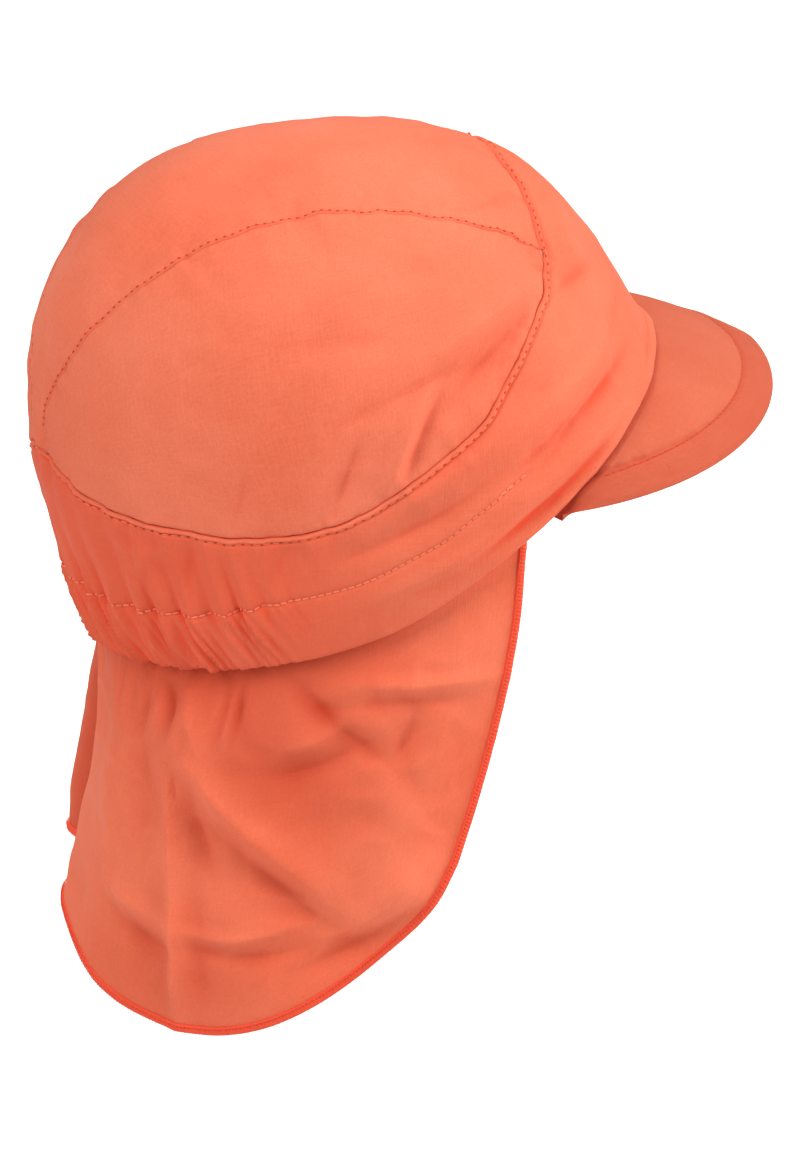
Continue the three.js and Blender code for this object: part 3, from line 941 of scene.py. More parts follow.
@dataclass
class Peak:
    """Soft crescent peak with one row of stitching inside its edge."""

    form: CrownForm
    end_x: float = 22.3
    reach: float = 90.2
    half_span: float = 76.6
    squareness: float = 0.95
    edge_z: float = 26.4
    end_drop: float = 10.3
    end_drop_power: float = 1.3
    root_around: float = 74.0
    root_inset: float = 5.0
    root_drop: float = 2.2
    half_thick: float = 1.15
    rounding: float = 2.4
    rise: float = 1.6
    stitch_in: float = 10.2
    quilting: Rows = ((-0.45, 0.0, 0.55), (0.55, -3.8, 2.6))
    columns: int = 230
    widest: float = 0.992
    edge_steps: tuple[float, ...] = (
        0.0, 0.12, 0.35, 0.7, 1.1, 1.6, 2.2, 3.0, 4.1, 5.5, 7.0, 8.1, 8.9, 9.4, 9.75, 10.0,
        10.2, 10.4, 10.7, 11.1, 11.8, 12.9, 14.5, 16.5,
    )
    inner_rows: int = 12
    flat_half: float = 90.0
    flat_deep: float = 40.0

    def middle_surface(self, across: Array, out: Array) -> Array:
        """Points midway through the peak.

        Args:
            across: Station from -1 at the left end to 1 at the right end.
            out: Share of the way from the rim (0) to the outer edge (1), or less inside.

        Returns:
            Positions in mm.
        """
        form = self.form
        across, out = np.broadcast_arrays(across, out)
        around = self.root_around * across
        root = form.at(around, form.rim.at(np.abs(around)))[0] - (0, 0, self.root_drop)
        cos, sin = np.maximum(np.cos(np.pi / 2 * across), 0), np.sin(np.pi / 2 * across)
        edge = np.stack([
            self.end_x + self.reach * cos**self.squareness,
            -self.half_span * sin,
            self.edge_z - self.end_drop * np.abs(sin) ** self.end_drop_power,
        ], axis=-1)
        inward = unit(np.array([form.middle[0], 0, 0]) - root * (1, 1, 0))
        outer, inner = np.maximum(out, 0)[..., None], np.minimum(out, 0)[..., None]
        point = root + (edge - root) * outer - inward * inner * self.root_inset
        point[..., 2] += self.rise * cos * np.sin(np.pi * np.clip(out, 0, 1))
        return point

    def edge_line(self, count: int = 300) -> Array:
        """Outer edge of the middle surface."""
        return self.middle_surface(np.linspace(-1, 1, count), np.ones(count))

    def span(self, across: Array) -> Array:
        """Distance from the rim to the outer edge at each station."""
        reach = self.middle_surface(across, 1.0) - self.middle_surface(across, 0.0)
        return np.linalg.norm(reach, axis=-1)

    def face(self, points: Array, upper: Array) -> Array:
        """Height of the cloth over or under the middle surface.

        Args:
            points: Points of the middle surface.
            upper: True for the upper cloth.

        Returns:
            Distances in mm.
        """
        gap, place = nearest(points, self.edge_line())
        beside = gap - self.stitch_in
        body = self.half_thick * np.sqrt(1 - (1 - np.clip(gap / self.rounding, 0, 1)) ** 2)
        quilt = ridges(beside, self.quilting) + 0.3 * ease(0, 3, beside)
        ticks = np.exp(-np.abs(beside) / 2.2) * Unevenness(73, 128).along(place, 2.4)
        top = quilt + crumple(points, seed=71, broad=0.4, fine=0.16) + 0.22 * ticks
        return body + np.where(upper, top, 0.5 * quilt) * ease(0, 3, gap)

    def build(self) -> bpy.types.Object:
        """Makes the upper cloth, rounded edge and under cloth in one skin.

        Returns:
            The finished mesh object.
        """
        across = np.linspace(-self.widest, self.widest, self.columns)[:, None]
        out = self.shares(across)
        loop = np.concatenate([out, out[:, ::-1][:, 1:]], axis=1)
        upper = np.arange(loop.shape[1])[None, :] < out.shape[1]
        middle = self.middle_surface(across, loop)
        lift = self.face(middle, upper) * (1 - 0.95 * ease(0.88, 0.985, np.abs(across)))
        points = middle + self.normal_at(across, loop) * np.where(upper, lift, -lift)[..., None]
        gap, _ = nearest(middle, self.edge_line())
        # Painted shade in the cloth's hollows and in a band beyond the stitching towards the
        # edge.
        shade = painted_hollow_shade(lift) + 0.25 * (1 - ease(self.stitch_in - 0.4, self.stitch_in, gap))
        uv = in_pairs(self.flat_half * across, self.flat_deep * loop)
        return grid_piece("peak_cloth", points, uv, 0.0, np.clip(shade, 0, 1), flip=True)

    def shares(self, across: Array) -> Array:
        """Shares from the rim to the edge for each column, close together at the stitching.

        Args:
            across: Stations of the columns, shaped (columns, 1).

        Returns:
            Shares, shaped (columns, rows).
        """
        span = self.span(across)
        steps = np.array(self.edge_steps)[None, ::-1]
        steps = steps * np.minimum(1, span * 0.8 / steps[0, 0])
        near_edge = 1 - steps / span
        inner = np.linspace(0, 1, self.inner_rows, endpoint=False) * near_edge[:, :1]
        lip = np.tile([-1.0, -0.5], (len(across), 1))
        return np.concatenate([lip, inner, near_edge], axis=1)

    def normal_at(self, across: Array, out: Array, step: float = 0.004) -> Array:
        """Upward normals of the middle surface.

        Args:
            across: Stations from -1 at the left end to 1 at the right end.
            out: Shares of the way from the rim to the outer edge.
            step: Step over which the slopes are taken.

        Returns:
            Unit normals.
        """
        flat_out = np.clip(out, 0, 1)
        low, high = np.clip(out - step, 0, 1), np.clip(out + step, 0.01, 1)
        side_on = self.middle_surface(across + step, flat_out)
        side_on = side_on - self.middle_surface(across - step, flat_out)
        ahead = self.middle_surface(across, high) - self.middle_surface(across, low)
        normal = unit(np.cross(side_on, ahead))
        return normal * np.sign(normal[..., 2:3])


@dataclass
class NeckFlap:
    """Single cloth that hangs from inside the band round the back of the neck."""

    form: CrownForm
    centre_x: float = 2.0
    front: float = 84.0
    back: float = 83.0
    side: float = 75.5
    flare: float = 0.13
    flare_below: float = -32.0
    front_around: float = 82.0
    front_bow: float = 2.2
    tuck: float = 3.6
    above_rim: float = 0.6
    inset_from_band: float = 2.4
    clear_down: float = 2.0
    blend_down: float = 22.0
    fold_strength: float = 1.5
    narrow_turn: float = 188.0
    narrow_spread: float = 15.0
    # Place and spread of the painted shade in the deep groove.
    groove_turn: float = 208.0
    groove_spread: float = 10.0
    crease_turn: float = 154.7
    crease_lean: float = 0.047
    crease_top: float = -64.0
    crease_height: float = 2.5
    gather_starts: tuple[float, float] = (135.0, 146.0)
    gather_ends: tuple[float, float] = (214.0, 226.0)
    gather_pitch: float = 8.5
    gather_height: float = 0.6
    columns: int = 300
    rows: int = 130
    cloth: float = 0.7
    flat_half: float = 140.0
    flat_drop: float = 110.0
    hem_turn: Curve = Curve((
        (-1, 262.4), (-0.95, 258.5), (-0.88, 252.5), (-0.75, 241), (-0.58, 228), (-0.42, 215),
        (-0.25, 200), (-0.1, 188), (0.02, 178), (0.15, 169), (0.3, 158), (0.45, 147),
        (0.6, 134), (0.75, 120), (0.88, 107.5), (0.95, 101.5), (1, 97.6),
    ))
    hem_z: Curve = Curve((
        (-1, -82.6), (-0.95, -91), (-0.88, -100), (-0.75, -109.5), (-0.58, -115),
        (-0.42, -117.5), (-0.25, -117.5), (-0.1, -119), (0.02, -123.8), (0.15, -129.5),
        (0.3, -133.8), (0.45, -135), (0.6, -129.6), (0.75, -117.8), (0.88, -102.4),
        (0.95, -92.4), (1, -82.6),
    ))
    standing: Curve = Curve((
        (90, 0), (106, 0.9), (120, -1.4), (136, 0.9), (152, -0.4), (168, 0.8), (180, 0.6),
        (190, 0.8), (196, -3), (203, -13), (209, -5), (216, 8.8), (222, 7.4), (230, 2.4),
        (242, 2.8), (256, 0.2), (270, 0),
    ))
    drawn_in: Curve = Curve((
        (-134, 0.3), (-122, 0.7), (-113, 1.5), (-104, 2.2), (-96, 2.6), (-88, 3.5), (-78, 3.9),
        (-66, 4.1), (-58, 3.8), (-50, 2.2), (-42, 0.9), (-34, 0.1), (-30, 0),
    ))
    # Patches of painted shade: strength, turn, its spread, height and its spread.
    shade_patches: Rows = ((0.4, 130, 17, -56, 18), (0.32, 150, 20, -122, 16))

    def plan_point(self, turn: Array, z: Array) -> Array:
        """Points of the hanging cloth before its small folds.

        Args:
            turn: Angles round the neck, from the front by the right side.
            z: Heights in mm.

        Returns:
            Positions in mm.
        """
        back = self.back + self.flare * np.maximum(self.flare_below - z, 0)
        c, s = np.cos(np.radians(turn)), np.sin(np.radians(turn))
        r = 1 / np.hypot(c / np.where(c < 0, back, self.front), s / self.side)
        low = np.clip((-30 - z) / 85, 0, 1) ** 0.7
        r = r + low * self.standing.at(np.clip(turn, 90, 270))
        narrow = self.drawn_in.at(np.clip(z, -134, -30))
        r = r - narrow * bump(turn - self.narrow_turn, self.narrow_spread)
        return np.stack([self.centre_x + r * c, -r * s, z + 0 * r], axis=-1)

    def turn_of(self, points: Array) -> Array:
        """Turn round the neck of each point, from 0 to 360."""
        turn = np.degrees(np.arctan2(-points[..., 1], points[..., 0] - self.centre_x))
        return np.where(turn < 0, turn + 360, turn)

    def at(self, station: Array, down: Array) -> Array:
        """Points of the cloth without its small folds.

        Args:
            station: From -1 at the left front edge to 1 at the right front edge.
            down: Share of the way from the band to the hem, or less than 0 in the band.

        Returns:
            Positions in mm.
        """
        form = self.form
        station, down = np.broadcast_arrays(station, down)
        around = 180 - station * (180 - self.front_around)
        share = np.maximum(down, 0)
        raised = np.maximum(-down, 0) * (self.tuck + self.above_rim) - self.above_rim
        base, normal = form.at(around, form.rim.at(from_front(around)) + raised)
        top = base - normal * self.inset_from_band
        start = self.turn_of(top)
        bow = self.front_bow * 4 * share * (1 - share) * station**3
        z = top[..., 2] + (self.hem_z.at(station) - top[..., 2]) * share
        hang = self.plan_point(start + (self.hem_turn.at(station) - start) * share - bow, z)
        settle = ease(self.clear_down, self.blend_down, top[..., 2] - z)
        from_top = top - self.plan_point(start, top[..., 2])
        hung = hang + from_top * (1 - settle)[..., None]
        return np.where((down < 0)[..., None], top, hung)

    def outward(self, points: Array) -> Array:
        """Level direction away from the neck."""
        return unit((points - (self.centre_x, 0, 0)) * (1, 1, 0))

    def lift(self, points: Array, share: Array) -> Array:
        """Offset outward of the small folds.

        Args:
            points: Points of the plain cloth.
            share: Share of the way from the middle of the cloth to its free edge.

        Returns:
            Offsets in mm.
        """
        scale = np.array([FLAP_DEGREE, 1.0])
        flat = in_pairs(self.turn_of(points), points[..., 2]) * scale
        total = sum(fold.lift(flat, fold.line() * scale) for fold in FLAP_FOLDS)
        total = total + self.crease(flat) + self.under_band(flat)
        inside = 1 - 0.8 * ease(0.86, 1, share)
        total = self.fold_strength * total
        total += crumple(points, seed=81, broad=1.2, fine=0.5) * inside
        return total * ease(0, 16, self.below_rim(points))

    def below_rim(self, points: Array) -> Array:
        """Distance of points under the band's lower edge, or 0 above it.

        Args:
            points: Positions in mm.

        Returns:
            Distances in mm.
        """
        line = self.form.rim_round()
        turns = self.turn_of(line)
        order = np.argsort(turns)
        rim_z = np.interp(self.turn_of(points), turns[order], line[order, 2])
        return nearest(points, line)[0] * (points[..., 2] < rim_z)

    def crease(self, flat: Array) -> Array:
        """Pressed crease down the right of the back, with a small pucker at its head.

        Args:
            flat: Places on the flap: distance round the neck and height, in mm.

        Returns:
            Offset outward in mm.
        """
        z = flat[..., 1]
        turn = self.crease_turn + (z - self.crease_top) * self.crease_lean
        side = flat[..., 0] - turn * FLAP_DEGREE
        along = ease(-58, -70, z) * (1 - 0.7 * ease(-120, -136, z))
        ridge = self.crease_height * np.exp(-np.abs(side) / 2.8) - 0.7 * bump(side + 6, 3)
        head = -1.3 * bump(side + 1.2, 0.9) * bump(z - self.crease_top + 2, 3.8)
        return along * ridge + head

    def under_band(self, flat: Array) -> Array:
        """Short upright folds that start where the elastic gathers the band.

        Args:
            flat: Places on the flap: distance round the neck and height, in mm.

        Returns:
            Offset outward in mm.
        """
        place, z = flat[..., 0], flat[..., 1]
        turn = place / FLAP_DEGREE
        gathered = ease(*self.gather_starts, turn) * (1 - ease(*self.gather_ends, turn))
        phase = place / self.gather_pitch + 0.8 * Unevenness(83, 64).along(place, 11.0)
        wave = np.sin(2 * np.pi * phase) * ease(-56, -40, z)
        return self.gather_height * gathered * wave

    def surface(self, station: Array, down: Array) -> Laid:
        """Points of the outer face, the same before its small folds, and their offsets.

        Args:
            station: From -1 at the left front edge to 1 at the right front edge.
            down: Share of the way from the band to the hem.

        Returns:
            Two sets of positions in mm, and the offsets between them.
        """
        plain = self.at(station, down)
        lift = self.lift(plain, np.maximum(np.abs(station), down))
        return plain + self.outward(plain) * lift[..., None], plain, lift

    def edge_path(self, count: int = 620) -> Array:
        """Edge of the cloth from the right front, round the hem, to the left front.

        Args:
            count: Number of points, roughly.

        Returns:
            Positions in mm.
        """
        drop = np.concatenate([[-0.6, -0.3], np.linspace(0, 1, count // 4)])[:-1]
        hem, front = np.linspace(1, -1, count // 2), np.ones(len(drop))
        station = np.concatenate([front, hem, -front])
        return self.surface(station, np.concatenate([drop, np.ones(len(hem)), drop[::-1]]))[0]

    def build(self) -> bpy.types.Object:
        """Makes the hanging cloth, with painted shade in its folds, its groove and under the
        band, and a painted highlight on its crests.

        Returns:
            The finished mesh object.
        """
        station = np.linspace(1, -1, self.columns)[:, None]
        down = np.concatenate([[-1.0, -0.5], np.linspace(0, 1, self.rows) ** 0.93])[None, :]
        points, plain, lift = self.surface(station, down)
        turn, z = self.turn_of(plain), plain[..., 2]
        # Painted shade in the folds, broad and narrow, over a little painted shade everywhere.
        shade = 0.06 + 0.5 * painted_hollow_shade(lift, 2.0, 24) + 0.4 * painted_hollow_shade(lift, 4.6, 240)
        # Painted highlight: less shade on the crests of the folds.
        shade -= 0.5 * painted_hollow_shade(-lift, 4.0, 240)
        # Painted shadow under the band.
        shade += 0.8 * np.exp(-self.below_rim(plain) / 12) * bump(turn - 146, 42)
        # Painted shade in the deep groove left of the back.
        groove = bump(turn - self.groove_turn, self.groove_spread)
        shade += 0.74 * groove * ease(-34, -46, z)
        # Patches of painted shade on the middle and lower flap.
        for strength, at, wide, height, tall in self.shade_patches:
            shade += strength * bump(turn - at, wide) * bump(z - height, tall)
        uv = in_pairs(station * self.flat_half, down * self.flat_drop)
        return grid_piece(
            "neck_flap_cloth", points, uv, self.cloth, np.clip(shade, 0, 1), flip=True)


def capsules(
    name: str, laid: Laid, size: tuple[float, float, float], sink: float
) -> bpy.types.Object:
    """Copies of one small thread shape, each turned along its run.

    Args:
        name: Name of the piece.
        laid: Centres of the copies, directions that they lie along, and the cloth's normals.
        size: Length, width and height of a copy in mm.
        sink: Depth of the centres under the cloth's face, less than 0 to stand over it.

    Returns:
        One mesh object.
    """
    bpy.ops.object.select_all(action="DESELECT")
    bpy.ops.mesh.primitive_uv_sphere_add(segments=8, ring_count=5, radius=0.5)
    ball = bpy.context.object
    shape = np.array([v.co[:] for v in ball.data.vertices])
    faces = [tuple(p.vertices) for p in ball.data.polygons]
    bpy.data.objects.remove(ball)
    shape[:, 2] = np.sign(shape[:, 2]) * np.abs(shape[:, 2] * 2) ** 0.6 / 2
    places, runs, normals = laid
    run = unit(runs)
    side = unit(np.cross(normals, run))
    up = np.cross(run, side)
    points = (places - up * sink)[:, None]
    for axis, column, length in zip((run, side, up), (2, 0, 1), size):
        points = points + axis[:, None] * (shape[None, :, column, None] * length)
    every = [tuple(i + k * len(shape) for i in f) for k in range(len(places)) for f in faces]
    mesh = bpy.data.meshes.new(name)
    mesh.from_pydata((points.reshape(-1, 3) * MM).tolist(), [], every)
    piece = bpy.data.objects.new(name, mesh)
    bpy.context.scene.collection.objects.link(piece)
    edit(piece, bpy.ops.mesh.normals_make_consistent, inside=False)
    bpy.ops.object.shade_smooth()
    return piece


@dataclass
class Stitching:
    """Rows of small thread stitches laid along lines on the cloth."""

    name: str
    length: float
    pitch: float
    thick: float

    def build(self, lines: list[Line]) -> bpy.types.Object:
        """Makes the stitches.

        Args:
            lines: For each row, its points in mm and the cloth's outward normals there.

        Returns:
            One object with every stitch of the rows.
        """
        size = (self.length, self.thick, self.thick * 0.8)
        return capsules(self.name, self.spread(lines, self.pitch / 2), size, -0.06)

    def build_hole_shade(self, lines: list[Line]) -> bpy.types.Object:
        """Makes dark dimples of painted shade where the needle has drawn the thread in."""
        size = (self.pitch - self.length + 0.3, self.thick * 1.1, self.thick * 0.8)
        return capsules(self.name + "_hole_shade", self.spread(lines, self.pitch), size, -0.08)

    def spread(self, lines: list[Line], first: float) -> Laid:
        """Places, directions and normals at even steps along the lines.

        Args:
            lines: For each row, its points in mm and the cloth's outward normals there.
            first: Length along each line to its first stitch.

        Returns:
            Centres, directions and normals for capsules().
        """
        laid, half = [], self.length * 0.4
        for line, normal in lines:
            lengths = lengths_along(line)
            at = np.arange(first, lengths[-1], self.pitch)
            run = sample(line, lengths, at + half) - sample(line, lengths, at - half)
            laid.append((sample(line, lengths, at), run, sample(normal, lengths, at)))
        return tuple(np.concatenate(column) for column in zip(*laid))


@dataclass
class Overlock:
    """Overlocked edge of the flap: a flat cord wrapped in close slanting threads."""

    flap: NeckFlap
    width: float = 2.5
    thick: float = 1.35
    pitch: float = 1.05
    thread: float = 0.5
    end: float = 0.6
    stations: int = 560
    section: int = 15

    def frames(self) -> Laid:
        """Points along the cloth's edge, directions out from it, and face normals.

        Returns:
            Positions in mm, and two sets of unit vectors.
        """
        path = self.flap.edge_path()
        lengths = lengths_along(path)
        path = sample(path, lengths, np.linspace(0, lengths[-1], self.stations))
        run = unit(np.gradient(path, axis=0))
        out = unit(np.cross(self.flap.outward(path), run))
        return path, out, np.cross(run, out)

    def build_cord(self) -> bpy.types.Object:
        """Makes the flat cord round the cloth's edge.

        Returns:
            The finished mesh object.
        """
        path, out, normal = self.frames()
        angle = np.linspace(0, 2 * np.pi, self.section)[:-1]
        wide = 0.5 * self.width * np.cos(angle)[None, :, None]
        tall = 0.5 * self.thick * (np.sin(angle) * (1 + 0.25 * np.cos(angle)))[None, :, None]
        centre = path + out * (self.width * 0.36)
        points = centre[:, None] + out[:, None] * wide + normal[:, None] * tall
        points = np.concatenate([points, points[:, :1]], axis=1)
        uv = 0.7 * in_pairs(np.arange(len(path))[:, None], np.arange(self.section)[None, :])
        return grid_piece("flap_overlock", points, uv, 0.0, 0 * uv[..., 0], closed=True)

    def build_threads(self) -> bpy.types.Object:
        """Makes the slanting threads over both faces of the cord.

        Returns:
            The finished mesh object.
        """
        frames = self.frames()
        lengths = lengths_along(frames[0])
        at = np.arange(self.end, lengths[-1] - self.end, self.pitch)
        path, out, normal = (sample(values, lengths, at) for values in frames)
        run = sample(frames[0], lengths, at + 0.5) - sample(frames[0], lengths, at - 0.5)
        laid = []
        for up in (normal, -normal):
            place = path + out * (self.width * 0.42) + up * (self.thick * 0.45)
            laid.append((place, out + run * 0.45 - up * 0.12, up))
        laid = tuple(np.concatenate(column) for column in zip(*laid))
        size = (self.width * 0.9, self.thread, self.thread)
        return capsules("flap_overlock_threads", laid, size, 0.0)

    def build_chain(self) -> bpy.types.Object:
        """Makes the line of needle thread along the cord's inner side.

        Returns:
            The finished mesh object.
        """
        path, out, normal = self.frames()
        line = path - out * (self.width * 0.02) + normal * (self.thick * 0.5)
        return Stitching("flap_overlock_chain", 1.5, 1.6, 0.42).build([(line, normal)])


def fill(node: bpy.types.Node, values: dict[str, float | tuple]) -> None:
    """Sets inputs of a node by name; a colour is given as red, green and blue."""
    for name, value in values.items():
        node.inputs[name].default_value = (*value, 1) if isinstance(value, tuple) else value


def new_material(name: str, values: dict[str, float | tuple]) -> bpy.types.Material:
    """Material whose main shader has the input values given.

    Args:
        name: Name of the material.
        values: Values of inputs by their names.

    Returns:
        The material.
    """
    material = bpy.data.materials.new(name)
    material.use_nodes = True
    fill(material.node_tree.nodes["Principled BSDF"], values)
    return material


@dataclass(frozen=True)
class ClothFinish:
    """Fine plain cotton: its colours, the colour of its painted shade, and how far its weave and
    dye vary.
    """

    name: str
    colour: Colour
    shade: Colour
    # colour that the painted shade in the cloth's hollows mixes towards
    painted_shade: Colour
    roughness: float = 0.86
    sheen: float = 0.12
    weave: float = 0.8
    relief: float = 0.55
    thread_height: float = 0.25

    def make(self, weave_group: bpy.types.NodeTree) -> bpy.types.Material:
        """Makes the material round the shader group of the weave.

        Args:
            weave_group: The shader group of the weave.

        Returns:
            The material.
        """
        material = new_material(self.name, {
            "Sheen Weight": self.sheen, "Sheen Roughness": 0.45,
            "Sheen Tint": (1.0, 0.62, 0.5), "Specular IOR Level": 0.16,
        })
        nodes, links = material.node_tree.nodes, material.node_tree.links
        shader = nodes["Principled BSDF"]
        group = nodes.new("ShaderNodeGroup")
        group.node_tree = weave_group
        fill(group, {
            "Colour": self.colour, "Shade": self.shade, "Painted Shade Colour": self.painted_shade,
            "Roughness": self.roughness, "Weave": self.weave,
        })
        # Reads the mesh's painted shade shares.
        attribute = nodes.new("ShaderNodeAttribute")
        attribute.attribute_name = "painted_shade"
        place = nodes.new("ShaderNodeTexCoord").outputs
        thread_bump = nodes.new("ShaderNodeBump")
        fill(thread_bump, {"Strength": self.relief, "Distance": self.thread_height * MM})
        for source, target in (
            (attribute.outputs["Fac"], group.inputs["Painted Shade"]),
            (place["UV"], group.inputs["Cloth"]),
            (place["Object"], group.inputs["Place"]),
            (group.outputs["Colour"], shader.inputs["Base Color"]),
            (group.outputs["Roughness"], shader.inputs["Roughness"]),
            (group.outputs["Height"], thread_bump.inputs["Height"]),
            (thread_bump.outputs["Normal"], shader.inputs["Normal"]),
        ):
            links.new(source, target)
        return material


@dataclass(frozen=True)
class ThreadFinish:
    """Spun sewing thread."""

    name: str
    colour: Colour
    roughness: float = 0.62
    sheen: float = 0.1

    def make(self) -> bpy.types.Material:
        """Makes the material."""
        return new_material(self.name, {
            "Base Color": self.colour, "Roughness": self.roughness,
            "Sheen Weight": self.sheen, "Sheen Tint": (1.0, 0.6, 0.45),
            "Specular IOR Level": 0.15,
        })


# One coral cotton in lit and shaded copies: the flap's is lighter and the band's and peak's
# darker, as painted light and shade. Each gives its colour, its dye shade and the colour of its
# painted shade in hollows.
COTTONS = (
    ClothFinish(
        "coral_cotton", (0.90, 0.222, 0.123), (0.78, 0.13, 0.058), (0.62, 0.045, 0.012)),
    ClothFinish(
        "band_cotton_shaded", (0.87, 0.210, 0.112), (0.78, 0.13, 0.058), (0.78, 0.048, 0.012)),
    ClothFinish(
        "flap_cotton_lit", (0.95, 0.222, 0.118), (0.86, 0.132, 0.056), (0.52, 0.036, 0.009)),
    ClothFinish(
        "peak_cotton_shaded", (0.665, 0.156, 0.083), (0.59, 0.098, 0.043), (0.44, 0.036, 0.012)),
)
# The coral thread; darker shaded copies for painted shade at needle holes and on the peak; a
# lighter copy for the casing, as painted light; and the deeper red hem thread.
THREADS = (
    ThreadFinish("coral_thread", (0.90, 0.19, 0.10)),
    ThreadFinish("shaded_thread", (0.60, 0.07, 0.026), 0.9, 0.0),
    ThreadFinish("casing_thread_lit", (0.92, 0.24, 0.13)),
    ThreadFinish("shaded_faint_thread", (0.66, 0.09, 0.035), 0.9, 0.0),
    ThreadFinish("hem_thread", (0.90, 0.10, 0.045)),
)


def weave_group() -> bpy.types.NodeTree:
    """Shader group for plain-woven cotton: slubs, thread relief, uneven dye and painted shade in
    hollows.

    Returns:
        The group's node tree.
    """
    tree = bpy.data.node_groups.new("plain_weave", "ShaderNodeTree")
    for way, kind, names in (
        ("INPUT", "NodeSocketVector", ("Cloth", "Place")),
        ("INPUT", "NodeSocketColor", ("Colour", "Shade", "Painted Shade Colour")),
        ("INPUT", "NodeSocketFloat", ("Painted Shade", "Roughness", "Weave")),
        ("OUTPUT", "NodeSocketColor", ("Colour",)),
        ("OUTPUT", "NodeSocketFloat", ("Roughness", "Height")),
    ):
        for name in names:
            tree.interface.new_socket(name=name, in_out=way, socket_type=kind)
    nodes, links = tree.nodes, tree.links
    source, result = nodes.new("NodeGroupInput").outputs, nodes.new("NodeGroupOutput").inputs

    def noise(vector: bpy.types.NodeSocket, scale: float, detail: float) -> bpy.types.NodeSocket:
        """Adds cloudy noise over a vector."""
        node = nodes.new("ShaderNodeTexNoise")
        fill(node, {"Scale": scale, "Detail": detail})
        links.new(vector, node.inputs["Vector"])
        return node.outputs["Fac"]

    def threads(stretch: tuple[float, float, float]) -> bpy.types.NodeSocket:
        """Adds noise drawn out along one direction of the cloth."""
        mapping = nodes.new("ShaderNodeMapping")
        mapping.inputs["Scale"].default_value = stretch
        links.new(source["Cloth"], mapping.inputs["Vector"])
        return noise(mapping.outputs["Vector"], 1.0, 2.0)

    def combine(
        kind: str, a: bpy.types.NodeSocket, b: bpy.types.NodeSocket | float
    ) -> bpy.types.NodeSocket:
        """Adds a sum on two values."""
        node = nodes.new("ShaderNodeMath")
        node.operation = kind
        links.new(a, node.inputs[0])
        if isinstance(b, float):
            node.inputs[1].default_value = b
        else:
            links.new(b, node.inputs[1])
        return node.outputs[0]

    def mix(
        factor: bpy.types.NodeSocket, a: bpy.types.NodeSocket, b: bpy.types.NodeSocket
    ) -> bpy.types.NodeSocket:
        """Adds a blend from one colour to another."""
        node = nodes.new("ShaderNodeMix")
        node.data_type = "RGBA"
        links.new(factor, node.inputs["Factor"])
        links.new(a, node.inputs[6])
        links.new(b, node.inputs[7])
        return node.outputs[2]

    grain = combine("ADD", threads((1500.0, 150.0, 1.0)), threads((150.0, 1500.0, 1.0)))
    mottled = combine("MULTIPLY", grain, 0.2)
    for scale, detail, share in ((28.0, 3.0, 0.9), (1500.0, 2.0, 0.5)):
        spots = noise(source["Place"], scale, detail)
        mottled = combine("ADD", mottled, combine("MULTIPLY", spots, share))
    spread = nodes.new("ShaderNodeMapRange")
    fill(spread, {"From Min": 0.62, "From Max": 1.2})
    links.new(mottled, spread.inputs["Value"])
    strength = combine("MULTIPLY", spread.outputs["Result"], source["Weave"])
    dyed = mix(strength, source["Colour"], source["Shade"])
    # Mixes in the painted shade colour by the painted shade share.
    links.new(mix(source["Painted Shade"], dyed, source["Painted Shade Colour"]), result["Colour"])
    links.new(source["Roughness"], result["Roughness"])
    links.new(grain, result["Height"])
    return tree


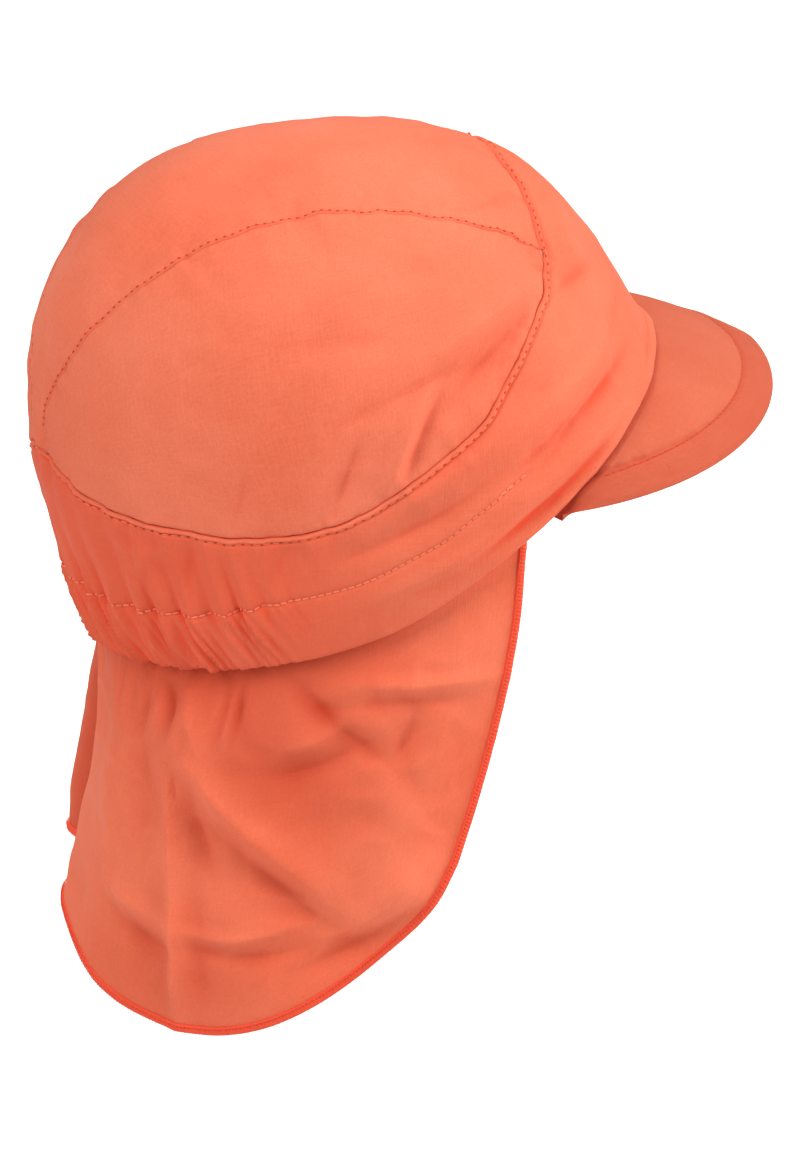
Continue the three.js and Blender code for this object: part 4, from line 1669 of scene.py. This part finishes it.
@dataclass
class Studio:
    """Pale floor, soft light and the camera at the photograph's angle."""

    target: tuple[float, float, float] = (1.25, -12.02, -25.06)
    azimuth: float = -20.95
    elevation: float = 23.27
    distance: float = 2000.0
    lens: float = 223.3
    floor_z: float = -0.42
    room_light: float = 0.1

    def build(self) -> None:
        """Sets up the floor, world, lamps and camera."""
        self.floor()
        self.world()
        for name, azimuth, elevation, size, watts in (
            ("key", 25, 35, 0.8, 20.5), ("right", 70, 25, 1.0, 29.0),
            ("left", -75, 30, 1.0, 17.0), ("upper_left", -60, 55, 1.0, 14.0),
        ):
            self.lamp(name, self.around(azimuth, elevation), size, watts)
        self.lamp("top", (0.0, 0.0, 2.2), 1.0, 2.0)
        self.lamp("floor_wash", (0.42, 1.15, 1.3), 1.5, 12.0, (0.42, 1.0, -0.42), 70)
        self.camera()

    @staticmethod
    def around(azimuth: float, elevation: float, distance: float = 2.2) -> Vector:
        """Place at angles round from the right side towards the front and above level.

        Args:
            azimuth: Degrees from the right side towards the front.
            elevation: Degrees above level.
            distance: Metres from the origin.

        Returns:
            The place in metres.
        """
        a, e = math.radians(azimuth), math.radians(elevation)
        level = math.cos(e) * distance
        return Vector((math.sin(a) * level, -math.cos(a) * level, math.sin(e) * distance))

    def floor(self) -> None:
        """Adds the pale floor."""
        bpy.ops.mesh.primitive_plane_add(size=60, location=(0, 0, self.floor_z))
        floor = bpy.context.object
        floor.name = "floor"
        values = {"Base Color": (0.9, 0.9, 0.9), "Roughness": 0.95}
        floor.data.materials.append(new_material("pale_floor", values))

    def world(self) -> None:
        """Fills the room with even white light."""
        world = bpy.data.worlds.new("white_room")
        world.use_nodes = True
        background = world.node_tree.nodes["Background"]
        fill(background, {"Color": (1, 1, 1), "Strength": self.room_light})
        bpy.context.scene.world = world

    def lamp(
        self, name: str, place: tuple[float, float, float] | Vector, size: float,
        watts: float, aim: tuple[float, float, float] = (0.0, 0.0, -0.02), spread: float = 180,
    ) -> None:
        """Adds a square soft light.

        Args:
            name: Name of the light.
            place: Where it stands, in metres.
            size: Side of the square in metres.
            watts: Power of the light.
            aim: The place that it faces.
            spread: Widest angle of its beam in degrees.
        """
        data = bpy.data.lights.new(name, "AREA")
        data.shape, data.size, data.energy = "SQUARE", size, watts
        data.spread = math.radians(spread)
        lamp = bpy.data.objects.new(name, data)
        bpy.context.scene.collection.objects.link(lamp)
        lamp.location = place
        lamp.rotation_euler = (Vector(aim) - Vector(place)).to_track_quat("-Z", "Y").to_euler()

    def camera(self) -> None:
        """Places the camera at the photograph's viewing angle."""
        back = self.around(self.azimuth, self.elevation, 1.0)
        data = bpy.data.cameras.new("camera")
        data.lens, data.sensor_width = self.lens, 36
        data.clip_start, data.clip_end = 0.1, 100
        camera = bpy.data.objects.new("camera", data)
        bpy.context.scene.collection.objects.link(camera)
        camera.location = Vector(self.target) * MM + back * self.distance * MM
        camera.rotation_euler = (-back).to_track_quat("-Z", "Y").to_euler()
        bpy.context.scene.camera = camera
        bpy.context.scene.view_settings.view_transform = "Standard"


def seam_stitches(form: CrownForm, band: Band) -> list[Line]:
    """Line of the topstitching just below the band's seam.

    Args:
        form: The form of the crown.
        band: The band that it is sewn on.

    Returns:
        One line with its normals.
    """
    around = np.linspace(-177, 177, 1400)
    below = 0.8 + 0.38 * ease(50, 66, np.abs(around))
    return [band.surface(around, form.seam_above(around) - below)]


def crown_stitches(form: CrownForm, panel: CentrePanel) -> list[Line]:
    """Lines of the stitching along both side seams of the centre panel.

    Args:
        form: The form of the crown.
        panel: The panel that they are sewn on.

    Returns:
        Two lines with their normals.
    """
    angle = np.linspace(64, form.back - 4, 700)
    lines = []
    for side in (-1, 1):
        y = side * (form.half_at(angle, side) - 0.8)
        base, normal = form.on(form.over_top(angle, y))
        lines.append((base + normal * panel.lift(base)[:, None], normal))
    return lines


def casing_stitches(form: CrownForm, band: Band) -> list[Line]:
    """Line of the stitching that closes the elastic casing, with its two short returns.

    Args:
        form: The form of the crown.
        band: The band that it is sewn on.

    Returns:
        Three lines with their normals.
    """
    lines = []
    for middle, reach, count, raised in (
        (180.0, 98.5, 1400, 0.0), (86.0, 1.1, 12, 0.25), (274.0, 1.1, 12, 0.25),
    ):
        around = np.linspace(middle - reach, middle + reach, count)
        lines.append(band.surface(around, form.casing.at(from_front(around)) + raised))
    return lines


def peak_stitches(peak: Peak) -> list[Line]:
    """Line of the stitching on the upper face of the peak.

    Args:
        peak: The peak that it is sewn on.

    Returns:
        One line with its normals.
    """
    across = np.linspace(-0.97, 0.97, 700)
    span = peak.span(across)
    keep = span > peak.stitch_in + 0.5
    across, out = across[keep], 1 - peak.stitch_in / span[keep]
    middle, normal = peak.middle_surface(across, out), peak.normal_at(across, out)
    return [(middle + normal * peak.face(middle, True)[:, None], normal)]


def main() -> None:
    """Builds the cap piece by piece over its frame, then the studio round it."""
    logging.basicConfig(level=logging.INFO, format="%(name)s: %(message)s")
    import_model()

    weave = weave_group()
    # Lit and shaded copies of one coral cotton, and of its thread.
    cloth, band_cloth, flap_cloth, peak_cloth = (finish.make(weave) for finish in COTTONS)
    thread, hole_shade, lit_casing_thread, shaded_faint, hem_thread = (finish.make() for finish in THREADS)

    form = CrownForm()
    centre = CentrePanel(form)
    crown = centre.build()
    dress(crown, cloth)
    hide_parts("crown_top_panel")
    for word, side in (("right", -1), ("left", 1)):
        panel = SidePanel(form, f"crown_side_cloth_{word}", side).build()
        dress(panel, cloth)
        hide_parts(f"crown_side_panel_{word}")
    band = Band(form)
    band_piece = band.build()
    dress(band_piece, band_cloth)
    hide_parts("front_band")
    peak = Peak(form)
    peak_piece = peak.build()
    dress(peak_piece, peak_cloth)
    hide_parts("peak")

    flap = NeckFlap(form)
    flap_piece = flap.build()
    dress(flap_piece, flap_cloth)
    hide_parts("neck_flap")
    overlock = Overlock(flap)
    cord = overlock.build_cord()
    dress(cord, hem_thread)
    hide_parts("flap_hem")
    threads = overlock.build_threads()
    dress(threads, hem_thread)
    chain = overlock.build_chain()
    dress(chain, hem_thread)

    # Each row's last finish is the painted shade of its needle holes.
    for name, length, pitch, thick, lines, finish, hole_shade_finish in (
        ("seam_topstitching", 2.0, 2.65, 0.46, seam_stitches(form, band), thread, hole_shade),
        ("crown_topstitching", 1.7, 2.3, 0.42, crown_stitches(form, centre), thread, hole_shade),
        ("casing_stitching", 2.1, 2.15, 0.6, casing_stitches(form, band), lit_casing_thread, shaded_faint),
        ("peak_stitching", 1.7, 2.3, 0.42, peak_stitches(peak), shaded_faint, hole_shade),
    ):
        row = Stitching(name, length, pitch, thick)
        dress(row.build(lines), finish)
        dress(row.build_hole_shade(lines), hole_shade_finish)

    Studio().build()


if __name__ == "__main__":
    main()
